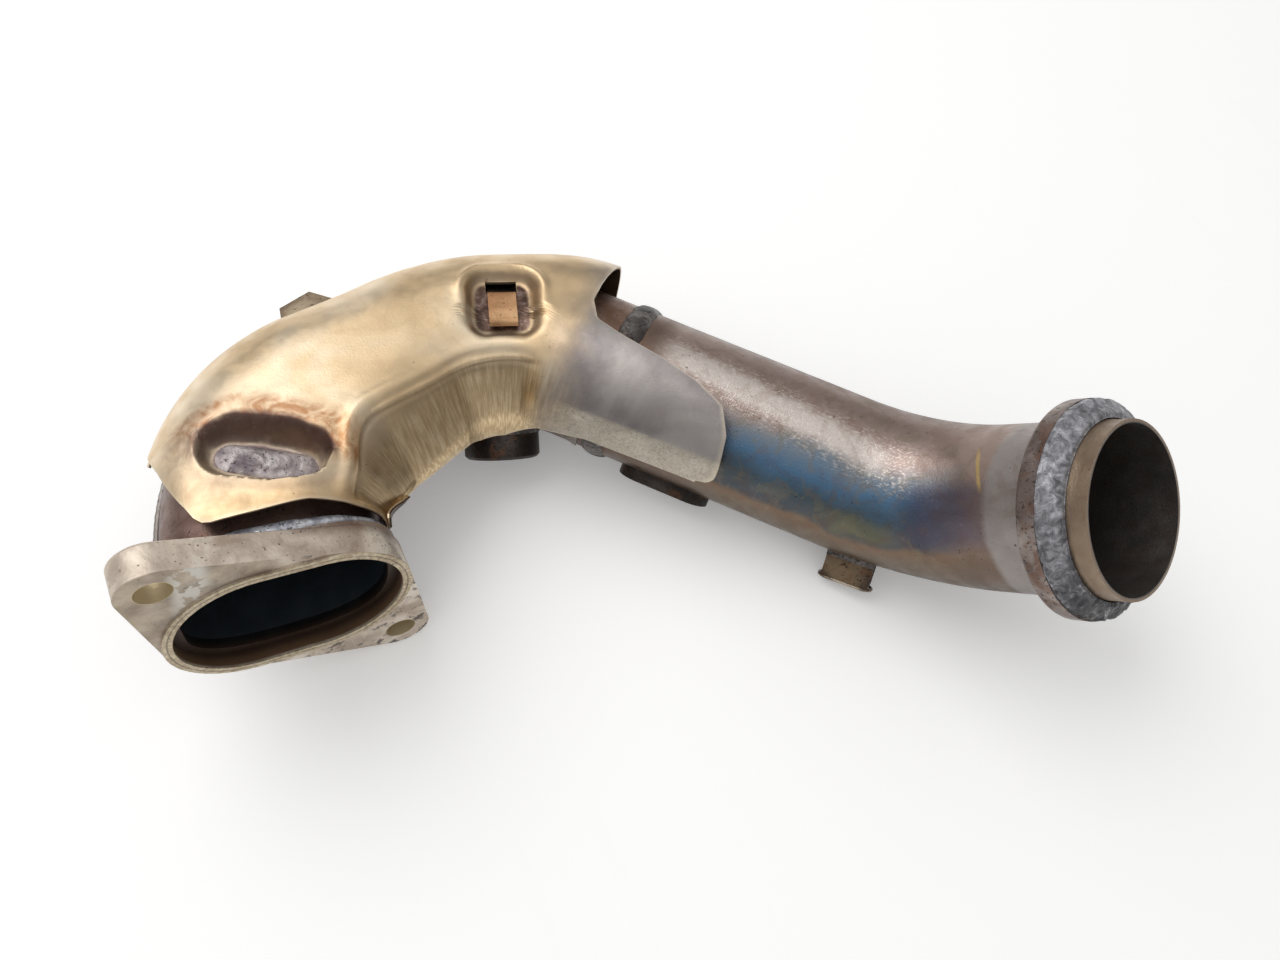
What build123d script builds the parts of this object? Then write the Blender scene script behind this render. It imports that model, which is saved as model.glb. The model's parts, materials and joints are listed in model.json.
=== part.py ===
"""Motorcycle exhaust header: cast port flange, pressed elbow, bent tube and heat shield.

Millimetres. The model is built in the bend frame: the origin is the port's centre on the
flange's sealing lip, gas flows along +Y into the elbow, and the elbow bends to the right
in the XY plane. The finished pieces are then moved so that the origin is the middle of the
bolt pattern on the ears' faces, and turned into the pose in which it lies, +Z up.
"""
from build123d import *
import math
import os

# Pose in which the header lies on a table, about the port's centre
REST_ROLL = 7.5
REST_PITCH = -4.3

# Gas path: straight neck, two bends with a straight between them, straight, third bend, outlet
NECK_RUN = 14.0
ELBOW_RADIUS = 54.0
ELBOW_TURN = 69.2
ELBOW_MID_RUN = 26.0
STUB_RUN = 18.0
TUBE_RUN = 83.7
TUBE_RADIUS = 68.0
TUBE_TURN = 50.4
TUBE_TWIST = 74.7
OUTLET_RUN = 41.3

# Duct sections
TUBE_OD = 54.0
TUBE_WALL = 1.5
ELBOW_WALL = 1.6
NECK_LENGTH = 64.0
NECK_HEIGHT = 45.0
NECK_POWER = 2.6
NECK_SWELL = 4.0
OVAL_RUN = 110.0
SECTION_POINTS = 16
ARC_STEPS = 4

# Port flange
PORT_ROLL = 7.8
PORT_LENGTH = 67.3
PORT_HEIGHT = 48.8
LIP_WIDTH = 2.9
LIP_RISE = 0.8
PORT_DEPTH = 5.0
FLANGE_THICKNESS = 11.0
FLANGE_ROUND = 1.2
NECK_COLLAR = 2.0
NECK_COLLAR_WALL = 3.2
SOCKET_DEPTH = 4.5
SOCKET_CLEARANCE = 0.15
BOLT_SPACING = 94.6
BOLT_ANGLE = 138.4
BOLT_HOLE = 10.0
EAR_RADIUS = 9.8

# Weld beads
FLANGE_BEAD_WIDTH = 4.0
FLANGE_BEAD_RISE = 2.6
SEAM_WIDTH = 4.8
SEAM_RISE = 1.4
RING_WIDTH = 7.0
RING_RISE = 1.8
BEAD_CLEARANCE = 0.5

# Outlet: spigot, tapered gasket and backing collar
SPIGOT_LENGTH = 5.9
SPIGOT_STEP = 0.3
GASKET_LENGTH = 5.9
GASKET_BAND = 2.4
GASKET_TIP_OD = 57.5
COLLAR_OD = 67.0
COLLAR_LENGTH = 6.2
COLLAR_ROUND = 1.4
RING_CLEARANCE = 0.1

# Heat shield: sheet, crown, stand-off from the duct on both sides
SHEET = 1.0
CROWN_HEIGHT = 33.0
CROWN_OUTER_ROUND = 29.0
CROWN_INNER_ROUND = 27.0
FRONT_GAP = 5.0
WAIST_GAP = 3.0
MOUTH_GAP = 9.0
SKIRT_FRONT_GAP = 1.5
SKIRT_GAP = 5.0
TIP_GAP = 3.6

# Heat shield: edges, as distances along the gas path and beside it
SHIELD_FRONT = 21.0
FRONT_DIP = 8.0
FRONT_INNER = 14.0
FRONT_OUTER = 13.0
FRONT_SWEEP = 18.0
SWEEP_REACH = 29.0
MOUTH_RUN = 2.0
TONGUE_LENGTH = 45.0
TONGUE_TOP = 5.0
TONGUE_MIDDLE = 10.0
TONGUE_ROUND = 13.0
TONGUE_SHOULDER = 17.0
SKIRT_FRONT = 12.0
SKIRT_MIDDLE = 2.0
SKIRT_WAIST = -7.0
SKIRT_TONGUE = 6.0
OUTER_SKIRT = 4.0
SHIELD_REACH = 50.0

# Front pocket, plug-welded to the elbow
FRONT_POCKET_AT = 39.0
FRONT_POCKET_LENGTH = 33.0
FRONT_POCKET_WIDTH = 13.0
POCKET_SLOPE = 28.0
POCKET_SEAT = 0.8
POCKET_HEADROOM = 6.0
PLUG_LENGTH = 25.0
PLUG_WIDTH = 8.0
PLUG_RISE = 0.8
PLUG_CLEARANCE = 0.1

# Rear pocket, with a slot and a strip
REAR_POCKET_AT = 142.0
REAR_POCKET_IN = 5.5
REAR_POCKET_LENGTH = 24.0
REAR_POCKET_WIDTH = 20.0
REAR_POCKET_ROUND = 4.0
SLOT_LENGTH = 11.0
SLOT_WIDTH = 4.5
STRIP_WIDTH = 9.4
STRIP_SHEET = 0.9
STRIP_CLEARANCE = 0.15

# Lug on the outer skirt
LUG_AT = 92.0
LUG_BASE = 23.0
LUG_TIP = 12.0
LUG_DEPTH = 3.5
LUG_SHEET = 1.6
LUG_HEIGHT = 13.0

# Sensor boss on the inside of the bend
BOSS_AT = 141.0
BOSS_DROP = 40.0
BOSS_OD = 27.0
BOSS_BORE = 16.4
BOSS_HEIGHT = 12.0
BOSS_BEAD = 3.0
BOSS_CHAMFER = 1.0

# Pad under the tube
PAD_AT = 216.0
PAD_DROP = 46.0
PAD_LENGTH = 34.0
PAD_WIDTH = 16.0
PAD_HEIGHT = 3.2

# Bracket and spring clip under the tube's bend
CLIP_AT = 285.0
CLIP_DROP = 49.0
BRACKET_LENGTH = 17.0
BRACKET_WIDTH = 9.0
BRACKET_HEIGHT = 9.0
BRACKET_SHEET = 1.2
BRACKET_BEAD = 1.8
CLIP_WIRE = 1.2
CLIP_MARGIN = 1.0
CLIP_CLEARANCE = 0.05

# Worked-out sizes
TUBE_R = TUBE_OD / 2
ELBOW_ARC = ELBOW_RADIUS * math.radians(ELBOW_TURN)
ELBOW_END = NECK_RUN + 2 * ELBOW_ARC + ELBOW_MID_RUN
WELD_AT = ELBOW_END + STUB_RUN
WAIST_AT = NECK_RUN + ELBOW_ARC + ELBOW_MID_RUN
MOUTH_AT = ELBOW_END + MOUTH_RUN
TIP_AT = WELD_AT + TONGUE_LENGTH
NECK_END = FLANGE_THICKNESS + NECK_COLLAR
SOCKET_AT = NECK_END - SOCKET_DEPTH
BEAD_END = NECK_END + FLANGE_BEAD_WIDTH
FAR = 200.0
FIRST_BEND_AT = NECK_RUN + ELBOW_ARC / 2
MIDDLE_AT = WAIST_AT - ELBOW_MID_RUN / 2
SECOND_BEND_AT = WAIST_AT + ELBOW_ARC / 2
UP = Vector(0, 0, 1)


def turned(vector, axis, degrees):
    """The vector turned about an axis through the origin."""
    return vector.rotate(Axis((0, 0, 0), axis), degrees)


def follow(point, heading, axis, radius, degrees):
    """End point and heading of an arc that turns about an axis to the right of its heading."""
    inward = heading.cross(axis)
    swing = math.radians(degrees)
    end = point + heading * (radius * math.sin(swing)) + inward * (radius * (1 - math.cos(swing)))
    return end, heading * math.cos(swing) + inward * math.sin(swing)


def tube_axis(heading):
    """Turning axis of the third bend, which lifts the outlet out of the bend plane."""
    return turned(UP, heading, -TUBE_TWIST)


def place(distance):
    """Point and heading of the gas path at a distance from the port."""
    runs = [
        (NECK_RUN, None, 0.0),
        (ELBOW_ARC, UP, ELBOW_RADIUS),
        (ELBOW_MID_RUN, None, 0.0),
        (ELBOW_ARC, UP, ELBOW_RADIUS),
        (STUB_RUN + TUBE_RUN, None, 0.0),
        (TUBE_RADIUS * math.radians(TUBE_TURN), "tube", TUBE_RADIUS),
        (OUTLET_RUN, None, 0.0),
    ]
    point = Vector(0, 0, 0)
    heading = Vector(0, 1, 0)
    left = distance
    for length, axis, radius in runs:
        step = min(left, length)
        if axis is None:
            point = point + heading * step
        else:
            about = tube_axis(heading) if axis == "tube" else axis
            point, heading = follow(point, heading, about, radius, math.degrees(step / radius))
        left -= step
        if left <= 0:
            break
    return point, heading


def station(distance, outward=0.0, height=0.0):
    """Section plane of the gas path: local x points away from the bend, local y upwards."""
    point, heading = place(distance)
    side = UP.cross(heading).normalized()
    origin = point + side * outward + UP * height
    return Plane(origin=origin, x_dir=side, z_dir=heading)


def spot(distance, outward):
    """Point in plan, beside the gas path."""
    origin = station(distance, outward).origin
    return origin.X, origin.Y


def ease(value, start, end):
    """Smooth step from 0 at start to 1 at end."""
    share = min(max((value - start) / (end - start), 0.0), 1.0)
    return share * share * (3 - 2 * share)


def section_roll(distance):
    """Turn of the duct's section about the gas path: the port's at the neck, none at the tube."""
    return PORT_ROLL * (1 - ease(distance, NECK_RUN, NECK_RUN + OVAL_RUN))


def duct_half(distance):
    """Half length and half height of the duct's outside, oval at the neck and round at the tube."""
    share = ease(distance, NECK_RUN, NECK_RUN + OVAL_RUN)
    swell = NECK_SWELL * math.sin(math.pi * share)
    half_length = NECK_LENGTH / 2 * (1 - share) + TUBE_R * share + swell
    half_height = NECK_HEIGHT / 2 * (1 - share) + TUBE_R * share
    return half_length, half_height


def oval(plane, half_length, half_height, power, roll):
    """Superellipse face on a section plane."""
    points = []
    for index in range(SECTION_POINTS):
        angle = 2 * math.pi * index / SECTION_POINTS
        x = half_length * math.copysign(abs(math.cos(angle)) ** (2 / power), math.cos(angle))
        y = half_height * math.copysign(abs(math.sin(angle)) ** (2 / power), math.sin(angle))
        points.append((x, y))
    return plane * Rot(0, 0, roll) * make_face(Spline(*points, periodic=True))


def duct_face(distance, grow):
    """Duct section at a distance, grown outwards."""
    half_length, half_height = duct_half(distance)
    share = ease(distance, NECK_RUN, NECK_RUN + OVAL_RUN)
    power = NECK_POWER * (1 - share) + 2 * share
    return oval(station(distance), half_length + grow, half_height + grow, power, section_roll(distance))


def elbow_stops(start, end):
    """Distances of the lofted sections between two places on the elbow."""
    arcs = [NECK_RUN + ELBOW_ARC * step / ARC_STEPS for step in range(ARC_STEPS + 1)]
    arcs += [WAIST_AT + ELBOW_ARC * step / ARC_STEPS for step in range(ARC_STEPS + 1)]
    inner = [stop for stop in arcs if start + 1 < stop < end - 1]
    return [start] + inner + [end]


def duct_solid(grow, start, end):
    """Solid of the elbow's outside, grown, between two places."""
    return loft([duct_face(stop, grow) for stop in elbow_stops(start, end)])


def port_plane(depth):
    """Plane of the flange at a depth, turned to the port; its normal points out of the port."""
    return Plane.XZ.offset(-depth) * Rot(0, 0, -PORT_ROLL)


def neck_prism(grow, start, end):
    """Straight prism of the neck's outline between two depths."""
    return extrude(duct_face(0, grow).moved(Pos(0, start, 0)), end - start)


def port_flange():
    """Cast flange: hull-shaped plate with two ears, raised lip, collar, port and socket."""
    bolts = [(BOLT_SPACING / 2 * math.cos(math.radians(BOLT_ANGLE + turn)),
              BOLT_SPACING / 2 * math.sin(math.radians(BOLT_ANGLE + turn))) for turn in (0, 180)]
    lip_length = PORT_LENGTH + 2 * LIP_WIDTH
    lip_height = PORT_HEIGHT + 2 * LIP_WIDTH
    lip = SlotOverall(lip_length, lip_height)
    ears = Sketch() + [Pos(*bolt) * Circle(EAR_RADIUS) for bolt in bolts]
    outline = make_hull((lip + ears).edges())
    plate = extrude(port_plane(LIP_RISE) * outline, LIP_RISE - FLANGE_THICKNESS)
    back = plate.faces().sort_by(Axis.Y)[-1]
    plate = fillet(back.edges(), FLANGE_ROUND)
    rim = extrude(port_plane(0) * lip, -FLANGE_ROUND - LIP_RISE)
    collar = neck_prism(NECK_COLLAR_WALL, FLANGE_THICKNESS - FLANGE_ROUND, NECK_END)
    body = plate + rim + collar
    body -= extrude(port_plane(0) * SlotOverall(PORT_LENGTH, PORT_HEIGHT), -PORT_DEPTH)
    body -= neck_prism(-ELBOW_WALL, 0, NECK_END)
    body -= neck_prism(SOCKET_CLEARANCE, SOCKET_AT, NECK_END)
    for bolt in bolts:
        body -= extrude(port_plane(0) * Pos(*bolt) * Circle(BOLT_HOLE / 2), -FLANGE_THICKNESS)
    return body


def flange_weld(elbow):
    """Bead round the elbow, on the end of the flange's collar."""
    return neck_prism(FLANGE_BEAD_RISE, NECK_END, BEAD_END) - elbow


def elbow_half(shell, side):
    """Upper or lower pressed half of the elbow, cut at the bend plane."""
    block = Pos(0, 0, side * FAR) * Box(4 * FAR, 4 * FAR, 2 * FAR)
    return shell & block


def duct_reach(distance):
    """Distance from the duct's middle to its outside in the bend plane."""
    half_length, half_height = duct_half(distance)
    share = ease(distance, NECK_RUN, NECK_RUN + OVAL_RUN)
    power = NECK_POWER * (1 - share) + 2 * share
    roll = math.radians(section_roll(distance))
    flat = (math.cos(roll) / half_length) ** power + (math.sin(roll) / half_height) ** power
    return flat ** (-1 / power)


def seam_weld(side, elbow):
    """Bead along the outer or inner seam of the elbow, clear of the beads at both ends."""
    faces = []
    for stop in elbow_stops(SOCKET_AT, WELD_AT):
        foot = duct_reach(stop) - ELBOW_WALL
        depth = ELBOW_WALL + SEAM_RISE
        faces.append(station(stop, side * (foot + depth / 2)) * Rectangle(depth, SEAM_WIDTH))
    across = Rectangle(FAR, FAR)
    neck = extrude(station(0) * across, BEAD_END + BEAD_CLEARANCE)
    ring = extrude(station(WELD_AT - RING_WIDTH / 2 - BEAD_CLEARANCE) * across, FAR)
    return loft(faces) - elbow - neck - ring


def tube_weld():
    """Ring bead round the joint of elbow and tube."""
    half = RING_WIDTH / 2
    foot = TUBE_R + RING_CLEARANCE
    section = make_face([
        Line((foot, -half), (foot, half)),
        ThreePointArc((foot, half), (foot + RING_RISE, 0), (foot, -half)),
    ])
    return station(WELD_AT) * revolve(Plane.XZ * section, Axis.Z)


def tube_rod(radius):
    """Round rod along the tube's run, from the weld to the spigot's end."""
    start, heading = place(WELD_AT)
    bend_at = WELD_AT + TUBE_RUN
    bend_length = TUBE_RADIUS * math.radians(TUBE_TURN)
    first, middle, last = [place(bend_at + bend_length * share)[0] for share in (0, 0.5, 1)]
    end, _ = place(bend_at + bend_length + OUTLET_RUN)
    path = Line(start, first) + ThreePointArc(first, middle, last) + Line(last, end)
    return sweep(Plane(origin=start, z_dir=heading) * Circle(radius), path=path)


def outlet_plane(back):
    """Plane across the outlet, set back from the spigot's end."""
    length = WELD_AT + TUBE_RUN + TUBE_RADIUS * math.radians(TUBE_TURN) + OUTLET_RUN
    point, heading = place(length)
    return Plane(origin=point - heading * back, z_dir=heading)


def main_tube(tube):
    """Bent tube, open at both ends, with its end turned down to the spigot."""
    spigot = Circle(TUBE_R + 1) - Circle(TUBE_R - SPIGOT_STEP)
    step = extrude(outlet_plane(SPIGOT_LENGTH) * spigot, SPIGOT_LENGTH)
    return tube - tube_rod(TUBE_R - TUBE_WALL) - step


def outlet_collar():
    """Backing ring behind the gasket."""
    back = SPIGOT_LENGTH + GASKET_LENGTH + COLLAR_LENGTH
    ring = extrude(Circle(COLLAR_OD / 2), COLLAR_LENGTH)
    ring = fillet(ring.edges().group_by(Axis.Z)[0], COLLAR_ROUND)
    ring -= extrude(Circle(TUBE_R + RING_CLEARANCE), COLLAR_LENGTH)
    return outlet_plane(back) * ring


def outlet_gasket():
    """Ring gasket on the spigot, against the collar: a plain band, then a taper."""
    back = SPIGOT_LENGTH + GASKET_LENGTH
    bore = TUBE_R + RING_CLEARANCE
    rim = COLLAR_OD / 2 - RING_CLEARANCE
    outline = [(bore, 0), (rim, 0), (rim, GASKET_BAND), (GASKET_TIP_OD / 2, GASKET_LENGTH), (bore, GASKET_LENGTH)]
    section = make_face(Polyline(*outline, close=True))
    return outlet_plane(back) * revolve(Plane.XZ * section, Axis.Z)


def outer_gap(distance):
    """Stand-off of the shield from the duct on the outside of the bend."""
    gap = FRONT_GAP + (WAIST_GAP - FRONT_GAP) * ease(distance, FRONT_POCKET_AT, WAIST_AT)
    return gap + (MOUTH_GAP - WAIST_GAP) * ease(distance, REAR_POCKET_AT, MOUTH_AT)


def inner_gap(distance):
    """Stand-off of the shield's skirt from the duct on the inside of the bend."""
    gap = SKIRT_FRONT_GAP + (SKIRT_GAP - SKIRT_FRONT_GAP) * ease(distance, NECK_RUN, FIRST_BEND_AT)
    return gap + (TIP_GAP - SKIRT_GAP) * ease(distance, MOUTH_AT, TIP_AT)


def shield_body(inset):
    """Solid block under the shield's outside, moved in by an inset, with both crown edges rounded."""
    start = SHIELD_FRONT - FRONT_DIP - inset
    tail = [WELD_AT, (WELD_AT + TIP_AT) / 2, TIP_AT + SHEET + inset]
    outer_stops = elbow_stops(start, MOUTH_AT) + tail
    inner_stops = [start, FIRST_BEND_AT, MIDDLE_AT, SECOND_BEND_AT, MOUTH_AT] + tail
    grow = SHEET - inset
    outer = [spot(stop, duct_half(stop)[0] + outer_gap(stop) + grow) for stop in outer_stops]
    inner = [spot(stop, -duct_half(stop)[0] - inner_gap(stop) - grow) for stop in reversed(inner_stops)]
    outline = make_face([
        Spline(*outer),
        Line(outer[-1], inner[0]),
        Spline(*inner),
        Line(inner[-1], outer[0]),
    ])
    low = SKIRT_WAIST - inset
    body = extrude(Pos(0, 0, low) * outline, CROWN_HEIGHT - inset - low)
    for index, radius in ((0, CROWN_INNER_ROUND), (-1, CROWN_OUTER_ROUND)):
        crown = body.faces().sort_by(Axis.Z)[-1]
        rim = crown.edges().filter_by(GeomType.BSPLINE).sort_by(SortBy.LENGTH)[index]
        body = fillet(rim, radius - inset)
    return body


def front_cut():
    """Everything ahead of the shield's swept front edge."""
    edge = [
        spot(SHIELD_FRONT - FRONT_DIP, -SHIELD_REACH),
        spot(SHIELD_FRONT, -FRONT_INNER),
        spot(SHIELD_FRONT, FRONT_OUTER),
        spot(SHIELD_FRONT + FRONT_SWEEP, SWEEP_REACH),
        spot(SHIELD_FRONT + 2 * FRONT_SWEEP, SHIELD_REACH),
    ]
    ahead = [(-FAR, edge[-1][1]), (-FAR, -FAR), (edge[0][0], -FAR)]
    outline = make_face([Spline(*edge), Polyline(edge[-1], *ahead, edge[0])])
    return extrude(outline, FAR, both=True)


def rear_cut():
    """Everything beyond the shield's mouth and above its tongue."""
    mouth = [spot(MOUTH_AT, FAR), spot(MOUTH_AT, TONGUE_MIDDLE)]
    tongue = [
        mouth[-1],
        spot(MOUTH_AT + TONGUE_TOP, -TONGUE_TOP),
        spot((MOUTH_AT + TIP_AT) / 2, -TONGUE_MIDDLE),
        spot(TIP_AT - TONGUE_ROUND / 2, -TONGUE_SHOULDER),
        spot(TIP_AT, -TONGUE_SHOULDER - TONGUE_ROUND),
    ]
    beyond = [spot(TIP_AT, -FAR), spot(TIP_AT + FAR, -FAR), spot(TIP_AT + FAR, FAR), mouth[0]]
    outline = make_face([Line(*mouth), Spline(*tongue), Polyline(tongue[-1], *beyond)])
    return extrude(outline, FAR, both=True)


def outer_skirt_cut():
    """Everything below the outer skirt's edge, outside the gas path."""
    stops = elbow_stops(0, TIP_AT)
    points = [spot(stop, 0) for stop in stops] + [spot(stop, 2 * SHIELD_REACH) for stop in reversed(stops)]
    return extrude(Pos(0, 0, OUTER_SKIRT) * make_face(Polyline(*points, close=True)), -FAR)


def inner_skirt_cut():
    """Everything below the inner skirt's curved edge, on the inside of the bend."""
    heights = [
        (SHIELD_FRONT, SKIRT_FRONT),
        (NECK_RUN + ELBOW_ARC, SKIRT_MIDDLE),
        (WAIST_AT + NECK_RUN, SKIRT_WAIST - SHEET),
        (REAR_POCKET_AT, SKIRT_WAIST - SHEET),
        (WELD_AT, SKIRT_TONGUE),
        (TIP_AT, SKIRT_TONGUE),
    ]
    edge = [(spot(stop, -TUBE_R - SKIRT_GAP)[0], height) for stop, height in heights]
    first = (0, SKIRT_FRONT)
    last = (FAR, SKIRT_TONGUE)
    below = [(FAR, -FAR), (0, -FAR), first]
    outline = make_face([Line(first, edge[0]), Spline(*edge), Line(edge[-1], last), Polyline(last, *below)])
    return extrude(Plane.XZ.offset(-spot(WAIST_AT, 0)[1]) * outline, 2 * FAR)


def pocket_floor(distance):
    """Height of the underside of a pocket's floor, just above the duct."""
    return duct_half(distance)[1] + POCKET_SEAT


def pocket_plane(distance, outward, height):
    """Plane above the duct, turned with its section: local x points away from the bend."""
    point, heading = place(distance)
    side = turned(UP.cross(heading).normalized(), heading, section_roll(distance))
    up = turned(UP, heading, section_roll(distance))
    return Plane(origin=point + side * outward + up * height, x_dir=side, z_dir=up)


def pocket_rise(distance):
    """Height of a pocket's body, from its floor to above the crown."""
    return CROWN_HEIGHT - pocket_floor(distance) + POCKET_HEADROOM


def front_pocket(grow):
    """Drafted obround body of the front pocket, grown by the sheet for its outside."""
    rise = pocket_rise(FRONT_POCKET_AT)
    draft = 2 * rise * math.tan(math.radians(POCKET_SLOPE))
    plane = pocket_plane(FRONT_POCKET_AT, 0, pocket_floor(FRONT_POCKET_AT) + SHEET - grow)
    length = FRONT_POCKET_LENGTH + 2 * grow
    width = FRONT_POCKET_WIDTH + 2 * grow
    floor = plane * SlotOverall(length, width)
    rim = plane * Pos(0, 0, rise) * SlotOverall(length + draft, width + draft)
    return loft([floor, rim])


def rear_pocket(grow):
    """Drafted rounded-rectangle body of the rear pocket, grown by the sheet for its outside."""
    rise = pocket_rise(REAR_POCKET_AT)
    draft = 2 * rise * math.tan(math.radians(POCKET_SLOPE))
    plane = pocket_plane(REAR_POCKET_AT, -REAR_POCKET_IN, pocket_floor(REAR_POCKET_AT) + SHEET - grow)
    width = REAR_POCKET_WIDTH + 2 * grow
    length = REAR_POCKET_LENGTH + 2 * grow
    corner = REAR_POCKET_ROUND + grow
    floor = plane * RectangleRounded(width, length, corner)
    rim = plane * Pos(0, 0, rise) * RectangleRounded(width + draft, length + draft, corner + draft / 2)
    return loft([floor, rim])


def plug_prism(clearance, low, high):
    """Obround prism of the plug weld between two heights above the pocket's floor."""
    plane = pocket_plane(FRONT_POCKET_AT, 0, pocket_floor(FRONT_POCKET_AT) + low)
    return extrude(plane * SlotOverall(PLUG_LENGTH - 2 * clearance, PLUG_WIDTH - 2 * clearance), high - low)


def slot_cut():
    """Slot through the rear pocket's floor at its outer end."""
    outward = REAR_POCKET_WIDTH / 2 - SLOT_WIDTH / 2 - REAR_POCKET_IN
    plane = pocket_plane(REAR_POCKET_AT, outward, pocket_floor(REAR_POCKET_AT) - SHEET)
    return extrude(plane * Rectangle(SLOT_WIDTH, SLOT_LENGTH), 3 * SHEET)


def heat_shield(cover):
    """Pressed sheet over the elbow, with two pockets, cut to its outline."""
    sheet = cover - shield_body(SHEET)
    for cut in (front_cut(), rear_cut(), outer_skirt_cut(), inner_skirt_cut()):
        sheet -= cut
    for pocket in (front_pocket, rear_pocket):
        body = pocket(SHEET)
        sheet = sheet - body + ((body - pocket(0)) & cover)
    return sheet - plug_prism(0, -SHEET, 2 * SHEET) - slot_cut()


def shield_plug_weld(elbow):
    """Plug weld that fills the hole in the front pocket's floor, down to the elbow."""
    return plug_prism(PLUG_CLEARANCE, -POCKET_SEAT - SHEET, SHEET + PLUG_RISE) - elbow


def shield_strip(elbow):
    """Bent strip on the rear pocket's floor, through its slot and down to the elbow."""
    floor_top = pocket_floor(REAR_POCKET_AT) + SHEET + STRIP_CLEARANCE
    slot_at = REAR_POCKET_WIDTH / 2 - SLOT_WIDTH / 2
    tail = STRIP_CLEARANCE - REAR_POCKET_WIDTH / 2 + STRIP_SHEET
    plane = pocket_plane(REAR_POCKET_AT, -REAR_POCKET_IN, 0)
    profile = Plane(origin=plane.origin, x_dir=plane.x_dir, z_dir=-plane.y_dir)
    foot = TUBE_R - REAR_POCKET_WIDTH / 2
    flat = Pos((slot_at + tail) / 2, floor_top + STRIP_SHEET / 2) * Rectangle(slot_at - tail, STRIP_SHEET)
    leg_height = floor_top + STRIP_SHEET - foot
    leg = Pos(slot_at, foot + leg_height / 2) * Rectangle(STRIP_SHEET, leg_height)
    return extrude(profile * (flat + leg), STRIP_WIDTH / 2, both=True) - elbow


def rear_lug(cover):
    """Flat tab on the outer skirt."""
    half_length, _ = duct_half(LUG_AT)
    plane = pocket_plane(LUG_AT, half_length, LUG_HEIGHT)
    reach = FRONT_GAP + SHEET + LUG_DEPTH
    corners = [(0, -LUG_BASE / 2), (reach, -LUG_TIP / 2), (reach, LUG_TIP / 2), (0, LUG_BASE / 2)]
    return extrude(plane * make_face(Polyline(*corners, close=True)), LUG_SHEET) - cover


def side_plane(distance, drop, reach):
    """Plane on the inside of the bend, dropped below level: local z points out of the duct."""
    point, heading = place(distance)
    inward = -UP.cross(heading).normalized()
    level = heading.cross(inward)
    out = inward * math.cos(math.radians(drop)) + level * math.sin(math.radians(drop))
    return Plane(origin=point + out * reach, x_dir=heading, z_dir=out)


def boss_rod(radius, start, end):
    """Round rod along the sensor boss's axis between two distances from the duct's middle."""
    return extrude(side_plane(BOSS_AT, BOSS_DROP, start) * Circle(radius), end - start)


def sensor_boss(elbow):
    """Turned boss for a sensor, saddled on the elbow."""
    end = TUBE_R + BOSS_HEIGHT
    rod = boss_rod(BOSS_OD / 2, 0, end)
    rims = rod.edges().filter_by(GeomType.CIRCLE)
    mouth = rims.sort_by_distance(side_plane(BOSS_AT, BOSS_DROP, end).origin)[0]
    rod = chamfer(mouth, BOSS_CHAMFER)
    return rod - elbow - boss_rod(BOSS_BORE / 2, 0, end)


def boss_envelope():
    """Conical fillet round the foot of the boss."""
    top = TUBE_R + BOSS_BEAD
    foot = TUBE_R * math.cos(math.asin(BOSS_OD / 2 / TUBE_R)) - BOSS_BEAD
    spread = (top - foot) / 2
    return loft([
        side_plane(BOSS_AT, BOSS_DROP, foot) * Circle(BOSS_OD / 2 + spread),
        side_plane(BOSS_AT, BOSS_DROP, top) * Circle(BOSS_OD / 2 + BEAD_CLEARANCE / 2),
    ])


def tube_pad(tube):
    """Low obround pad welded under the tube."""
    prism = extrude(side_plane(PAD_AT, PAD_DROP, 0) * SlotOverall(PAD_LENGTH, PAD_WIDTH), TUBE_R + PAD_HEIGHT)
    return prism - tube


def clip_plane(reach):
    """Plane across the clip bracket's axis."""
    return side_plane(CLIP_AT, CLIP_DROP, reach)


def clip_bracket(tube):
    """Folded channel with its legs on the tube."""
    depth = TUBE_R + BRACKET_HEIGHT
    outer = extrude(clip_plane(0) * Rectangle(BRACKET_LENGTH, BRACKET_WIDTH), depth)
    inner_width = BRACKET_WIDTH - 2 * BRACKET_SHEET
    inner = extrude(clip_plane(0) * Rectangle(2 * BRACKET_LENGTH, inner_width), depth - BRACKET_SHEET)
    return outer - inner - tube


def clip_weld(tube):
    """Beads along both legs of the bracket."""
    beads = []
    for side in (-1, 1):
        across = side * (BRACKET_WIDTH + BRACKET_BEAD) / 2
        plane = clip_plane(0) * Pos(0, across, 0)
        beads.append(extrude(plane * Rectangle(BRACKET_LENGTH, BRACKET_BEAD), TUBE_R + BRACKET_BEAD / 2) - tube)
    return Compound(children=[solid for bead in beads for solid in bead.solids()])


def spring_clip():
    """Obround loop of spring wire on the bracket's back."""
    plane = clip_plane(TUBE_R + BRACKET_HEIGHT + CLIP_WIRE / 2 + CLIP_CLEARANCE)
    width = BRACKET_WIDTH - CLIP_WIRE
    straight = BRACKET_LENGTH + 2 * CLIP_MARGIN - width
    loop = SlotCenterToCenter(straight, width).wires()[0]
    start = loop.edges().filter_by(GeomType.LINE)[0]
    section = Plane(origin=start @ 0.5, z_dir=start % 0.5) * Circle(CLIP_WIRE / 2)
    return plane * sweep(section, path=loop)


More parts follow.
